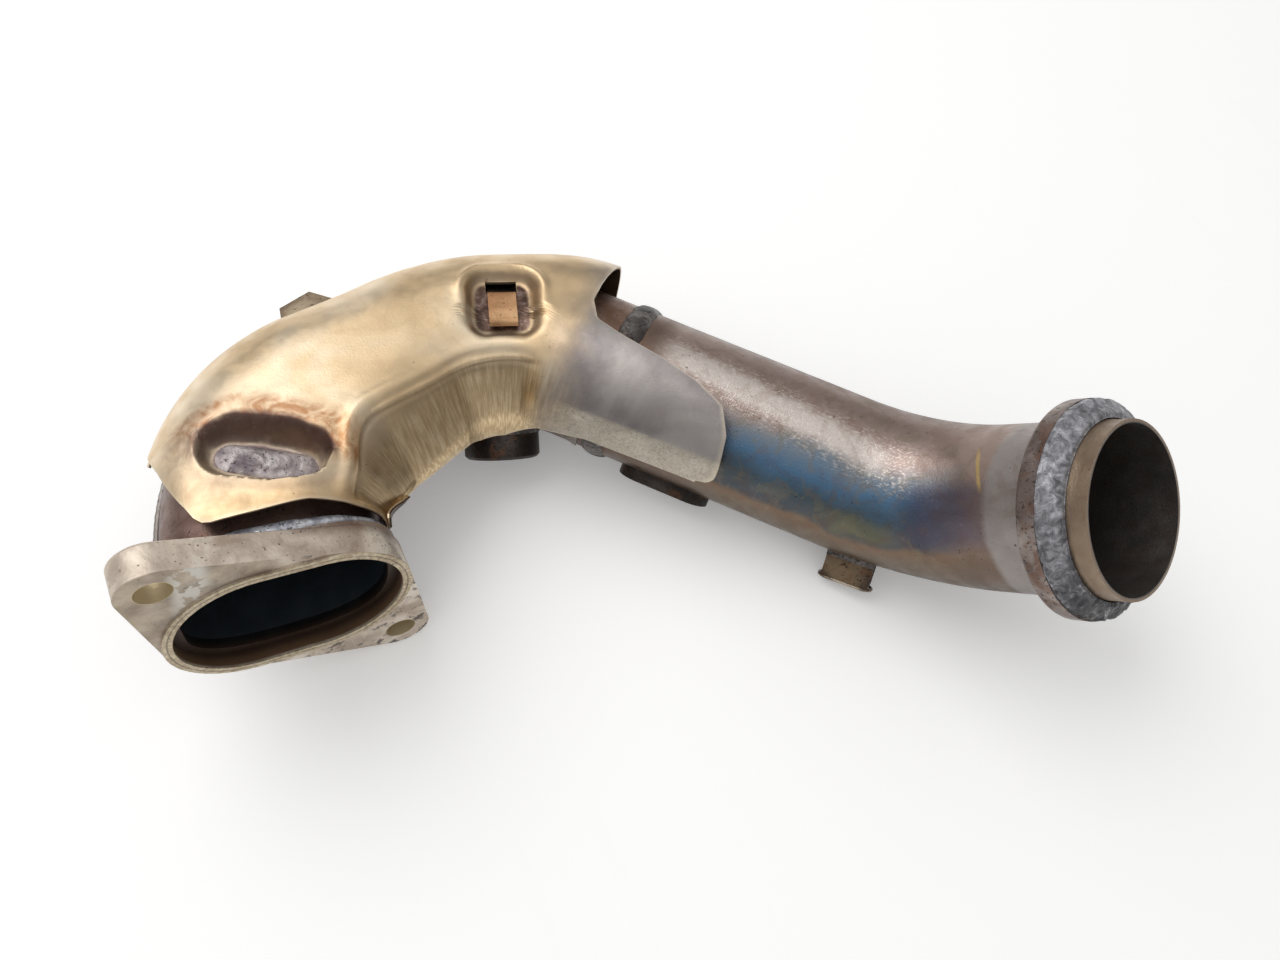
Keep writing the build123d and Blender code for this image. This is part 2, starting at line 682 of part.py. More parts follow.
def build():
    """All nodes by name, in the bend frame."""
    elbow = duct_solid(0, SOCKET_AT, WELD_AT)
    shell = elbow - duct_solid(-ELBOW_WALL, SOCKET_AT, WELD_AT) - boss_rod(BOSS_BORE / 2, 0, FAR)
    tube = tube_rod(TUBE_R)
    cover = shield_body(0)
    boss_zone = boss_envelope() + boss_rod(BOSS_OD / 2 + BEAD_CLEARANCE, 0, FAR)
    boss_core = boss_rod(BOSS_OD / 2, 0, FAR)
    return {
        "port_flange": port_flange(),
        "flange_weld": flange_weld(elbow),
        "elbow_upper_half": elbow_half(shell, 1),
        "elbow_lower_half": elbow_half(shell, -1),
        "elbow_outer_seam_weld": seam_weld(1, elbow),
        "elbow_inner_seam_weld": seam_weld(-1, elbow) - boss_zone,
        "tube_weld": tube_weld(),
        "main_tube": main_tube(tube),
        "outlet_collar": outlet_collar(),
        "outlet_gasket": outlet_gasket(),
        "heat_shield": heat_shield(cover),
        "shield_plug_weld": shield_plug_weld(elbow),
        "shield_strip": shield_strip(elbow),
        "rear_lug": rear_lug(cover),
        "sensor_boss": sensor_boss(elbow),
        "sensor_boss_weld": boss_envelope() - boss_core - elbow,
        "tube_pad": tube_pad(tube),
        "clip_bracket": clip_bracket(tube),
        "clip_weld": clip_weld(tube),
        "spring_clip": spring_clip(),
    }


def main():
    """Move every node to the bolt pattern's plane, turn it into the lying pose and write it."""
    os.makedirs("parts", exist_ok=True)
    pose = Rot(REST_PITCH, 0, 0) * Rot(0, REST_ROLL, 0) * Pos(0, -LIP_RISE, 0)
    for name, shape in build().items():
        export_step(pose * shape, f"parts/{name}.step")


if __name__ == "__main__":
    main()
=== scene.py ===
"""Blender dressing of a motorcycle exhaust header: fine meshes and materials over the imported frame."""
import json
import logging
import math
from dataclasses import dataclass, field
from enum import Enum

import bmesh
import bpy
import numpy as np
from mathutils import Matrix, Vector, noise

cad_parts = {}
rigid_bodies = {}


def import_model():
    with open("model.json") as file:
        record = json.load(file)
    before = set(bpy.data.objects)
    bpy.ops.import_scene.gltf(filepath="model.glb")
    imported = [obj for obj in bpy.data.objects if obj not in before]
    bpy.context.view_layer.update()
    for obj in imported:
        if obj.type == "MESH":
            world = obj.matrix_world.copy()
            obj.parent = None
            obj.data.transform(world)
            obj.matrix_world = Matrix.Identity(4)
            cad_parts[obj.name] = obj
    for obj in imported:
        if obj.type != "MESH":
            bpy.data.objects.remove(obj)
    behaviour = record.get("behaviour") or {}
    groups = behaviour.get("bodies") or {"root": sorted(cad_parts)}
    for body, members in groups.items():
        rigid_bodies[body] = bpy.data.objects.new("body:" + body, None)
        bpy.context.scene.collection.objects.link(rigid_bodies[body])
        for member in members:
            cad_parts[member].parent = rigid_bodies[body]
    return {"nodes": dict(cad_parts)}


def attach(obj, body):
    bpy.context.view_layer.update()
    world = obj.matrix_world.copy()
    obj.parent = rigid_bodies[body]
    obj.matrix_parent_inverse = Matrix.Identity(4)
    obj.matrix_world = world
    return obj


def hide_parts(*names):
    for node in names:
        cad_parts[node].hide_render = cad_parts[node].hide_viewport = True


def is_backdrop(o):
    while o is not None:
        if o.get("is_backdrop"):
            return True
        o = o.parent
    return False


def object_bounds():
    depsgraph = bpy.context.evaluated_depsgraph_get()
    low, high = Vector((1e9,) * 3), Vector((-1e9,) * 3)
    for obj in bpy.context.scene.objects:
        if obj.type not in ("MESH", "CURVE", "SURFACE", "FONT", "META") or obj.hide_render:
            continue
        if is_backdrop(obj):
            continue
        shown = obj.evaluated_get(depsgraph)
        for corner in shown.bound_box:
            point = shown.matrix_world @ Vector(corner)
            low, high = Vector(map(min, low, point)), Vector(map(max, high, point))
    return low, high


LOG = logging.getLogger("exhaust_header")
BODY = "root"
Array = np.ndarray
Node = bpy.types.Node
Socket = bpy.types.NodeSocket
Material = bpy.types.Material
MeshObject = bpy.types.Object
Colour = tuple[float, float, float]
Value = float | Socket
Tint = Colour | Socket
Sockets = bpy.types.bpy_prop_collection
FourArrays = tuple[Array, Array, Array, Array]
# Millimetres in one unit of a vertex mark.
MARK_UNIT = 100.0
# Distances along the gas path of the shield's pockets and of the joint between elbow and tube.
FRONT_POCKET = 39.0
REAR_POCKET = 142.0
JOIN = 188.5
# Signs of a rectangle's corners, in order round it.
CORNERS = ((-1, -1), (1, -1), (1, 1), (-1, 1))


class Slot(Enum):
    """Material slots of the record; each new piece holds one."""

    WELD = "weld_bead"
    ELBOW = "elbow_steel"
    SEAM = "seam_bead"
    TUBE = "tube_steel"
    GASKET = "gasket_graphite"
    SHIELD = "shield_steel"
    PLUG = "plug_bead"
    STRIP = "strip_copper"


def tone(red: int, green: int, blue: int) -> Colour:
    """Linear colour of an sRGB tone."""
    shares = [value / 255 for value in (red, green, blue)]
    return tuple(v / 12.92 if v <= 0.04045 else ((v + 0.055) / 1.055) ** 2.4 for v in shares)


def ease(value: Array, start: float | Array, end: float) -> Array:
    """Smooth step from 0 at start to 1 at end."""
    share = np.clip((value - start) / (end - start), 0.0, 1.0)
    return share * share * (3 - 2 * share)


def turned(vector: Array, axis: Array, degrees: float) -> Array:
    """The vector turned about a unit axis."""
    swing = math.radians(degrees)
    flat = vector * math.cos(swing) + np.cross(axis, vector) * math.sin(swing)
    return flat + axis * (axis @ vector) * (1 - math.cos(swing))


@dataclass(frozen=True)
class Pose:
    """How the bend frame, in millimetres, lies in the row frame, in metres."""

    roll: float = 7.5
    pitch: float = -4.3
    shift: float = -0.8

    def matrix(self) -> Array:
        """Rotation from the bend frame to the row frame."""
        a = math.radians(self.pitch)
        b = math.radians(self.roll)
        about_x = np.array([[1, 0, 0], [0, math.cos(a), -math.sin(a)], [0, math.sin(a), math.cos(a)]])
        about_y = np.array([[math.cos(b), 0, math.sin(b)], [0, 1, 0], [-math.sin(b), 0, math.cos(b)]])
        return about_x @ about_y

    def to_row(self, points: Array) -> Array:
        """Points of the bend frame in the row frame."""
        moved = points + np.array([0.0, self.shift, 0.0])
        return moved @ self.matrix().T / 1000


@dataclass
class GasPath:
    """Centre line of the duct in the bend frame, kept as a fine table."""

    neck_run: float = 14.0
    elbow_radius: float = 54.0
    elbow_turn: float = 69.2
    middle_run: float = 26.0
    straight_run: float = 101.7
    tube_radius: float = 68.0
    tube_turn: float = 50.4
    tube_twist: float = 74.7
    outlet_run: float = 41.3
    step: float = 0.25
    spare: float = 8.0
    stops: Array = field(init=False)
    points: Array = field(init=False)
    heads: Array = field(init=False)

    def __post_init__(self) -> None:
        """Walk the runs and bends once."""
        up = np.array([0.0, 0.0, 1.0])
        point = np.array([0.0, -self.spare, 0.0])
        head = np.array([0.0, 1.0, 0.0])
        points, heads, gaps = [point], [head], [0.0]
        for length, radius, twist in self.runs():
            axis = turned(up, head, -twist)
            count = max(int(round(length / self.step)), 1)
            piece = length / count
            for _ in range(count):
                if radius:
                    inward = np.cross(head, axis)
                    swing = piece / radius
                    point = point + head * radius * math.sin(swing)
                    point = point + inward * radius * (1 - math.cos(swing))
                    head = head * math.cos(swing) + inward * math.sin(swing)
                else:
                    point = point + head * piece
                points.append(point)
                heads.append(head)
                gaps.append(piece)
        self.points = np.array(points)
        self.heads = np.array(heads)
        self.stops = np.cumsum(gaps) - self.spare

    def runs(self) -> list[tuple[float, float, float]]:
        """Length, bend radius (0 if straight) and twist of each run."""
        arc = self.elbow_radius * math.radians(self.elbow_turn)
        return [
            (self.neck_run + self.spare, 0.0, 0.0),
            (arc, self.elbow_radius, 0.0),
            (self.middle_run, 0.0, 0.0),
            (arc, self.elbow_radius, 0.0),
            (self.straight_run, 0.0, 0.0),
            (self.tube_radius * math.radians(self.tube_turn), self.tube_radius, self.tube_twist),
            (self.outlet_run + self.spare, 0.0, 0.0),
        ]

    def end(self) -> float:
        """Distance of the spigot's end from the port."""
        return float(self.stops[-1]) - self.spare

    def frames(self, s: Array) -> FourArrays:
        """Point, outward side, upward direction and heading at distances along the path.

        Args:
            s: distances from the port, of any shape.

        Returns:
            Four arrays of that shape with a last axis of three.
        """
        point = np.stack([np.interp(s, self.stops, self.points[:, k]) for k in range(3)], -1)
        head = np.stack([np.interp(s, self.stops, self.heads[:, k]) for k in range(3)], -1)
        head = head / np.linalg.norm(head, axis=-1, keepdims=True)
        side = np.cross(np.broadcast_to([0.0, 0.0, 1.0], head.shape), head)
        side = side / np.linalg.norm(side, axis=-1, keepdims=True)
        return point, side, np.cross(head, side), head

    def spot(self, s: Array, out: Array, rise: Array) -> Array:
        """Points beside and above the path in the bend frame."""
        point, side, up, _ = self.frames(s)
        return point + side * out[..., None] + up * rise[..., None]


@dataclass(frozen=True)
class Duct:
    """Outside of the duct: oval at the neck, round from the second bend on."""

    neck_run: float = 14.0
    oval_run: float = 110.0
    neck_half: tuple[float, float] = (32.0, 22.5)
    tube_half: float = 27.0
    swell: float = 4.0
    power: float = 2.6
    port_roll: float = 7.8

    def share(self, s: Array) -> Array:
        """How round the section is."""
        return ease(s, self.neck_run, self.neck_run + self.oval_run)

    def roll(self, s: float) -> float:
        """Turn of the section about the path, in degrees."""
        return float(self.port_roll * (1 - self.share(np.array(s))))

    def half(self, s: Array) -> tuple[Array, Array]:
        """Half length and half height of the section."""
        share = self.share(s)
        length = self.neck_half[0] * (1 - share) + self.tube_half * share
        length = length + self.swell * np.sin(math.pi * share)
        return length, self.neck_half[1] * (1 - share) + self.tube_half * share

    def section(self, s: Array, turn: Array, grow: Array) -> tuple[Array, Array]:
        """Outward and upward offsets of points round the section.

        Args:
            s: distances along the path.
            turn: angles round the section, 0 on the outside of the bend and a quarter turn on top.
            grow: offsets from the outside.

        Returns:
            Offsets beside and above the path.
        """
        length, height = self.half(s)
        share = self.share(s)
        power = 2 / (self.power * (1 - share) + 2 * share)
        x = (length + grow) * np.sign(np.cos(turn)) * np.abs(np.cos(turn)) ** power
        y = (height + grow) * np.sign(np.sin(turn)) * np.abs(np.sin(turn)) ** power
        roll = np.radians(self.port_roll) * (1 - share)
        return x * np.cos(roll) - y * np.sin(roll), x * np.sin(roll) + y * np.cos(roll)


PATH = GasPath()
DUCT = Duct()
POSE = Pose()


class Graph:
    """Short-hand for building one node tree."""

    def __init__(self, tree: bpy.types.NodeTree, material: Material | None = None) -> None:
        """Keep the tree and the material that it belongs to."""
        self.tree = tree
        self.material = material

    def add(self, kind: str, inputs: dict[str | int, object] | None = None, **settings: object) -> Node:
        """New node with settings and inputs.

        Args:
            kind: node type without its ShaderNode prefix.
            inputs: socket name or index to a value or an output socket.
            settings: attributes of the node.

        Returns:
            The node.
        """
        made = self.tree.nodes.new("ShaderNode" + kind)
        for name, value in settings.items():
            setattr(made, name, value)
        for key, value in (inputs or {}).items():
            if isinstance(value, Socket):
                self.tree.links.new(value, made.inputs[key])
            elif isinstance(value, tuple) and len(value) == 3 and made.inputs[key].type == "RGBA":
                made.inputs[key].default_value = (*value, 1.0)
            else:
                made.inputs[key].default_value = value
        return made

    def math(self, operation: str, first: Value, second: Value = 0.0, third: Value = 0.0) -> Socket:
        """Output of a maths node."""
        return self.add("Math", {0: first, 1: second, 2: third}, operation=operation).outputs[0]

    def span(self, value: Value, start: float, end: float, low: float = 0.0, high: float = 1.0) -> Socket:
        """Smooth step of a value from low at start to high at end."""
        if start > end:
            start, end, low, high = end, start, high, low
        inputs = {0: value, 1: start, 2: end, 3: low, 4: high}
        return self.add("MapRange", inputs, interpolation_type="SMOOTHSTEP").outputs[0]

    def band(self, value: Value, start: float, end: float, soft: float) -> Socket:
        """1 between two values, 0 outside, with soft edges."""
        rise = self.span(value, start - soft, start + soft)
        fall = self.span(value, end - soft, end + soft, 1.0, 0.0)
        return self.times(rise, fall)

    def mix(self, share: Value, first: Tint, second: Tint) -> Socket:
        """Colour mixed from two."""
        made = self.add("Mix", data_type="RGBA")
        for index, value in ((0, share), (6, first), (7, second)):
            if isinstance(value, Socket):
                self.tree.links.new(value, made.inputs[index])
            else:
                made.inputs[index].default_value = (*value, 1.0) if isinstance(value, tuple) else value
        return made.outputs[2]

    def ramp(self, share: Value, stops: list[tuple[float, Colour]]) -> Socket:
        """Colour ramp over a value."""
        made = self.add("ValToRGB", {0: share})
        ramp = made.color_ramp
        while len(ramp.elements) < len(stops):
            ramp.elements.new(0.5)
        for element, (at, colour) in zip(ramp.elements, stops):
            element.position = at
            element.color = (*colour, 1.0)
        return made.outputs[0]

    def tones(self, share: Value, *stops: tuple[float, int, int, int]) -> Socket:
        """Colour ramp over a value, from places and sRGB tones."""
        return self.ramp(share, [(at, tone(*shade)) for at, *shade in stops])

    def noise(self, vector: Socket, scale: Value, detail: float = 3.0, rough: float = 0.55,
              warp: Value = 0.0) -> Socket:
        """Fractal noise value."""
        inputs = {"Vector": vector, "Scale": scale, "Detail": detail}
        inputs.update({"Roughness": rough, "Distortion": warp})
        return self.add("TexNoise", inputs).outputs[0]

    def times(self, first: Value, second: Value) -> Socket:
        """Product of two values."""
        return self.math("MULTIPLY", first, second)

    def line(self, value: Value, factor: Value, offset: Value) -> Socket:
        """A value times a factor, plus an offset."""
        return self.math("MULTIPLY_ADD", value, factor, offset)

    def over(self, colour: Tint, mask: Value, amount: float, tint: Tint) -> Socket:
        """Colour with an amount of a tint laid over it where a mask says so."""
        return self.mix(self.times(mask, amount), colour, tint)

    def mark(self, name: str, kind: str = "Vector") -> Socket:
        """Vertex attribute of the mesh."""
        return self.add("Attribute", attribute_name=name).outputs[kind]

    def apart(self, vector: Socket) -> list[Socket]:
        """The three parts of a vector."""
        return list(self.add("SeparateXYZ", {0: vector}).outputs)

    def plane(self, first: Value, second: Value) -> Socket:
        """Vector of two values and zero."""
        return self.add("CombineXYZ", {0: first, 1: second}).outputs[0]

    def length(self, first: Value, second: Value) -> Socket:
        """Length of the vector of two values."""
        return self.add("VectorMath", {0: self.plane(first, second)}, operation="LENGTH").outputs["Value"]

    def lining(self) -> Socket:
        """1 on the inner face of a wall, 0 elsewhere."""
        return self.math("GREATER_THAN", self.mark("inside", "Fac"), 0.5)

    def place(self) -> Socket:
        """Position on the object, in metres."""
        return self.add("TexCoord").outputs["Object"]

    def group(self, name: str, **inputs: object) -> Node:
        """Node of a shared group.

        Args:
            name: name of the group.
            inputs: socket names in lower case, each with a value or an output socket.

        Returns:
            The node.
        """
        made = self.tree.nodes.new("ShaderNodeGroup")
        made.node_tree = bpy.data.node_groups[name]
        for key, value in inputs.items():
            socket = made.inputs[key.replace("_", " ").title()]
            if isinstance(value, Socket):
                self.tree.links.new(value, socket)
            else:
                socket.default_value = value
        return made


class Effects:
    """Shared effects as node groups: they give out masks and values only."""

    @staticmethod
    def start(name: str, inputs: dict[str, tuple[str, object]],
              outputs: dict[str, str]) -> tuple[Graph, Sockets, Sockets]:
        """New group with its sockets.

        Args:
            name: group name.
            inputs: socket name to its kind and start value.
            outputs: socket name to its kind.

        Returns:
            Graph of the group, its input sockets and its output sockets by name.
        """
        tree = bpy.data.node_groups.new(name, "ShaderNodeTree")
        for label, (kind, value) in inputs.items():
            socket = tree.interface.new_socket(label, in_out="INPUT", socket_type="NodeSocket" + kind)
            if value is not None:
                socket.default_value = value
        for label, kind in outputs.items():
            tree.interface.new_socket(label, in_out="OUTPUT", socket_type="NodeSocket" + kind)
        source = tree.nodes.new("NodeGroupInput")
        target = tree.nodes.new("NodeGroupOutput")
        return Graph(tree), source.outputs, target.inputs

    @classmethod
    def specks(cls) -> None:
        """Small dark specks of soot."""
        graph, source, target = cls.start(
            "Specks", {"Vector": ("Vector", None), "Size": ("Float", 900.0), "Amount": ("Float", 0.3)},
            {"Mask": "Float"})
        grain = graph.noise(source["Vector"], source["Size"], 2.0, 0.5)
        patch = graph.noise(source["Vector"], 60.0)
        level = graph.line(source["Amount"], -0.2, 0.76)
        edge = graph.math("SUBTRACT", graph.line(patch, 0.16, grain), level)
        graph.tree.links.new(graph.span(edge, 0.0, 0.06), target["Mask"])

    @classmethod
    def scratches(cls) -> None:
        """Thin bright scratches along one direction."""
        graph, source, target = cls.start(
            "Scratches", {"Vector": ("Vector", None), "Stretch": ("Vector", (1.0, 1.0, 0.05)),
                          "Size": ("Float", 900.0)}, {"Mask": "Float"})
        stretched = {0: source["Vector"], 1: source["Stretch"]}
        long = graph.add("VectorMath", stretched, operation="MULTIPLY").outputs[0]
        lines = graph.noise(long, source["Size"], 3.0, 0.5)
        graph.tree.links.new(graph.span(lines, 0.62, 0.72), target["Mask"])

    @classmethod
    def blotches(cls) -> None:
        """Wide soft patches of heat tint or grime."""
        graph, source, target = cls.start(
            "Blotches", {"Vector": ("Vector", None), "Size": ("Float", 45.0), "Warp": ("Float", 0.6)},
            {"Share": "Float", "Mask": "Float"})
        cloud = graph.noise(source["Vector"], source["Size"], 4.0, 0.5, source["Warp"])
        graph.tree.links.new(graph.span(cloud, 0.3, 0.7), target["Share"])
        graph.tree.links.new(graph.span(cloud, 0.52, 0.62), target["Mask"])

    @classmethod
    def grain(cls) -> None:
        """Fine relief of worn metal."""
        graph, source, target = cls.start(
            "Grain", {"Vector": ("Vector", None), "Size": ("Float", 1500.0)}, {"Height": "Float"})
        fine = graph.noise(source["Vector"], source["Size"], 4.0, 0.5)
        broad = graph.noise(source["Vector"], 220.0)
        graph.tree.links.new(graph.line(broad, 0.6, fine), target["Height"])

    @classmethod
    def make(cls) -> None:
        """All groups."""
        for effect in (cls.specks, cls.scratches, cls.blotches, cls.grain):
            effect()


@dataclass(frozen=True)
class Steel:
    """Finish of a heat-tinted steel surface."""

    name: str
    dark: Colour
    middle: Colour
    bright: Colour
    soot: Colour = tone(38, 30, 26)
    rust: Colour = tone(112, 72, 44)
    metallic: float = 0.75
    rough: float = 0.42
    patch_size: float = 55.0
    speck_size: float = 900.0
    speck_amount: float = 0.35
    rust_share: float = 0.15
    scratch_share: float = 0.3
    relief: float = 0.25
    relief_size: float = 1500.0
    scratch: Colour | None = None


@dataclass(frozen=True)
class FlangeFace:
    """Places on the flange's face, in metres from the middle of the port."""

    port_straight: float = 0.00925
    port_round: float = 0.0244
    duct_half: tuple[float, float] = (0.0345, 0.0252)
    bolt: tuple[float, float] = (0.0354, 0.0314)
    bolt_radius: float = 0.005


class Paint:
    """Builds materials."""

    @staticmethod
    def start(name: str) -> tuple[Graph, Node]:
        """New material with an empty Principled shader.

        Args:
            name: material name.

        Returns:
            Graph of its tree and the shader node.
        """
        material = bpy.data.materials.new(name)
        material.use_nodes = True
        tree = material.node_tree
        tree.nodes.clear()
        graph = Graph(tree, material)
        shader = graph.add("BsdfPrincipled")
        graph.add("OutputMaterial", {"Surface": shader.outputs[0]})
        return graph, shader

    @staticmethod
    def close(graph: Graph, shader: Node, finish: Steel, colour: Socket,
              height: Socket | None = None) -> Material:
        """Connect colour, roughness and relief.

        Args:
            graph: graph of the material.
            shader: its Principled shader.
            finish: values that the shader takes.
            colour: base colour socket.
            height: relief socket, or none for the plain grain of the finish.

        Returns:
            The material.
        """
        if height is None:
            height = graph.group("Grain", vector=graph.place(), size=finish.relief_size).outputs["Height"]
        links = graph.tree.links
        links.new(colour, shader.inputs["Base Color"])
        shader.inputs["Metallic"].default_value = finish.metallic
        vary = graph.noise(graph.place(), 130.0)
        rough = graph.span(vary, 0.3, 0.7, finish.rough - 0.09, finish.rough + 0.11)
        links.new(rough, shader.inputs["Roughness"])
        bump = graph.add("Bump", {"Height": height, "Strength": finish.relief, "Distance": 0.0004})
        links.new(bump.outputs[0], shader.inputs["Normal"])
        return graph.material

    @staticmethod
    def patchy(graph: Graph, finish: Steel, cloud: Socket) -> Socket:
        """Tones of a finish, from dark to bright over a value."""
        return graph.ramp(cloud, [(0.0, finish.dark), (0.5, finish.middle), (1.0, finish.bright)])

    @staticmethod
    def worn(graph: Graph, finish: Steel, colour: Socket) -> Socket:
        """Colour with rust, soot specks and scratches over it."""
        place = graph.place()
        rust = graph.group("Blotches", vector=place, size=finish.patch_size * 2.3, warp=1.2)
        colour = graph.over(colour, rust.outputs["Mask"], finish.rust_share, finish.rust)
        specks = graph.group("Specks", vector=place, size=finish.speck_size, amount=finish.speck_amount)
        colour = graph.over(colour, specks.outputs["Mask"], 0.75, finish.soot)
        lines = graph.group("Scratches", vector=place).outputs["Mask"]
        return graph.over(colour, lines, finish.scratch_share, finish.scratch or finish.bright)

    @classmethod
    def steel(cls, finish: Steel) -> Material:
        """Plain patchy steel."""
        graph, shader = cls.start(finish.name)
        place = graph.place()
        cloud = graph.group("Blotches", vector=place, size=finish.patch_size).outputs["Share"]
        colour = cls.patchy(graph, finish, cloud)
        colour = cls.worn(graph, finish, colour)
        return cls.close(graph, shader, finish, colour)

    @staticmethod
    def heat_tint(graph: Graph, turn: Socket, reach: Socket) -> Socket:
        """Tint of the tube by the turn round it, blue in its middle stretch.

        Args:
            graph: graph of the material.
            turn: angle round the tube, in degrees.
            reach: distance along the gas path.

        Returns:
            The colour.
        """
        heat = [(-50.0, tone(86, 74, 64)), (-8.0, tone(118, 102, 86)), (2.0, tone(124, 102, 84)),
                (8.0, tone(82, 84, 88)), (24.0, tone(78, 92, 100)), (42.0, tone(88, 124, 156)),
                (56.0, tone(126, 132, 138)), (70.0, tone(166, 146, 138)), (115.0, tone(150, 130, 122)),
                (150.0, tone(116, 100, 92))]
        plain = [(-50.0, tone(86, 70, 58)), (0.0, tone(122, 102, 88)), (60.0, tone(156, 136, 125)),
                 (110.0, tone(164, 144, 134)), (150.0, tone(118, 102, 94))]
        start, stop = heat[0][0], heat[-1][0]
        share = graph.add("MapRange", {0: turn, 1: start, 2: stop}).outputs[0]
        tint, bare = (graph.ramp(share, [((at - start) / (stop - start), shade) for at, shade in shades])
                      for shades in (heat, plain))
        mask = graph.band(reach, 224.0, 322.0, 16.0)
        patch = graph.group("Blotches", vector=graph.place(), size=120.0, warp=1.5).outputs["Mask"]
        tint = graph.over(tint, patch, 0.3, tone(128, 116, 92))
        return graph.mix(mask, bare, tint)

    @staticmethod
    def pale_streak(graph: Graph, colour: Socket, angle: Socket, along: Socket) -> Socket:
        """Colour with a pale streak, part scuffed metal and part painted highlight, and its flakes, which
        lean round the tube.

        Args:
            graph: graph of the material.
            colour: colour of the tube.
            angle: angle round the tube, in degrees.
            along: distance along the gas path.

        Returns:
            The colour.
        """
        # The pale streak is part scuffed metal and part painted highlight; the flakes are real crust.
        lean = graph.line(along, -0.238, 136.0)
        off = graph.math("ABSOLUTE", graph.math("SUBTRACT", angle, lean))
        fray = graph.line(graph.noise(graph.place(), 260.0, 4.0), 14.0, -7.0)
        streak = graph.span(graph.math("ADD", off, fray), 4.0, 15.0, 1.0, 0.0)
        streak = graph.times(streak, graph.band(along, 202.0, 288.0, 8.0))
        colour = graph.over(colour, streak, 0.85, tone(214, 204, 197))
        skin = graph.plane(graph.times(along, 0.05), graph.times(angle, 0.06))
        flakes = graph.noise(skin, 9.0, 5.0, 0.7)
        crust = graph.times(graph.span(flakes, 0.52, 0.6), graph.span(off, 26.0, 8.0))
        crust = graph.times(crust, graph.band(along, 200.0, 306.0, 10.0))
        return graph.over(colour, crust, 0.7, tone(222, 212, 204))

    @classmethod
    def tube(cls, finish: Steel) -> Material:
        """Tube with heat tint along the gas path and round it, a dark stub and a paler spigot.

        Args:
            finish: values of the tube's metal.

        Returns:
            The material.
        """
        graph, shader = cls.start(finish.name)
        parts = graph.apart(graph.mark("flow"))
        place = graph.place()
        angle = graph.times(graph.math("ARCTAN2", parts[1], parts[0]), math.degrees(1))
        along = graph.times(parts[2], MARK_UNIT)
        wave = graph.line(graph.noise(place, 55.0, 4.0), 26.0, -13.0)
        turn = graph.math("ADD", angle, wave)
        colour = cls.heat_tint(graph, turn, graph.math("ADD", along, wave))
        colour = cls.pale_streak(graph, colour, angle, along)
        olive = graph.times(graph.band(along, 272.0, 300.0, 9.0), graph.band(turn, 8.0, 24.0, 6.0))
        colour = graph.over(colour, olive, 0.65, tone(112, 108, 82))
        purple = graph.times(graph.band(along, 304.0, 341.0, 9.0), graph.band(angle, 12.0, 54.0, 8.0))
        colour = graph.over(colour, purple, 0.7, tone(80, 76, 96))
        gilt = graph.line(angle, 0.16, graph.line(wave, 0.06, along))
        gilt = graph.times(graph.band(gilt, 346.4, 347.6, 0.5), graph.band(angle, 50.0, 78.0, 5.0))
        colour = graph.over(colour, gilt, 0.8, tone(204, 172, 106))
        band = graph.band(graph.line(wave, 0.15, along), 341.0, 356.0, 1.5)
        colour = graph.over(colour, band, 0.75, tone(158, 152, 150))
        stub = graph.span(graph.line(wave, 0.4, along), 194.0, 206.0, 1.0, 0.0)
        colour = graph.over(colour, stub, 0.8, finish.dark)
        colour = graph.mix(graph.span(along, 366.0, 368.0), colour, finish.middle)
        colour = graph.mix(graph.lining(), colour, tone(104, 98, 94))
        colour = cls.worn(graph, finish, colour)
        return cls.close(graph, shader, finish, colour)

    @classmethod
    def elbow(cls, finish: Steel) -> Material:
        """Pressed elbow: violet-brown neck, painted near-black shade on its top under the shield, rusty
        stub.

        Args:
            finish: values of the pressed steel.

        Returns:
            The material.
        """
        graph, shader = cls.start(finish.name)
        parts = graph.apart(graph.mark("flow"))
        place = graph.place()
        along = graph.times(parts[2], MARK_UNIT)
        cloud = graph.group("Blotches", vector=place, size=finish.patch_size).outputs["Share"]
        colour = cls.patchy(graph, finish, cloud)
        rusty = graph.tones(cloud, (0.0, 72, 50, 42), (0.5, 106, 79, 65), (1.0, 136, 110, 94))
        colour = graph.mix(graph.span(along, 150.0, 172.0), colour, rusty)
        # Painted shade: the top of the elbow under the shield is coloured near black.
        shield_shade = graph.times(graph.band(along, 56.0, 166.0, 6.0), graph.span(parts[1], 0.3, 0.6))
        colour = graph.mix(shield_shade, colour, tone(14, 11, 10))
        colour = cls.worn(graph, finish, colour)
        colour = graph.mix(graph.lining(), colour, tone(66, 74, 82))
        return cls.close(graph, shader, finish, colour)

    @staticmethod
    def pocket_tints(graph: Graph, colour: Socket, wave: Socket, along: Socket, front: Socket,
                     rear: Socket) -> Socket:
        """Colour with heat tint round both pockets, their floors, and dark walls and rims that are partly
        heat tint and partly painted shade.

        Args:
            graph: graph of the material.
            colour: colour of the sheet.
            wave: uneven shift of the tints' edges.
            along: distance along the gas path.
            front: distance from the front pocket's floor.
            rear: distance from the rear pocket's floor.

        Returns:
            The colour.
        """
        place = graph.place()
        near = graph.line(wave, 0.25, front)
        far = graph.span(graph.math("ADD", along, wave), 34.0, 46.0)
        ripple = graph.group("Blotches", vector=place, size=150.0, warp=2.0).outputs["Share"]
        halo = graph.times(graph.band(near, 3.0, 13.0, 2.5), graph.line(ripple, 0.7, 0.3))
        halo = graph.times(halo, graph.line(far, 0.75, 0.25))
        colour = graph.over(colour, halo, 0.85, tone(170, 112, 66))
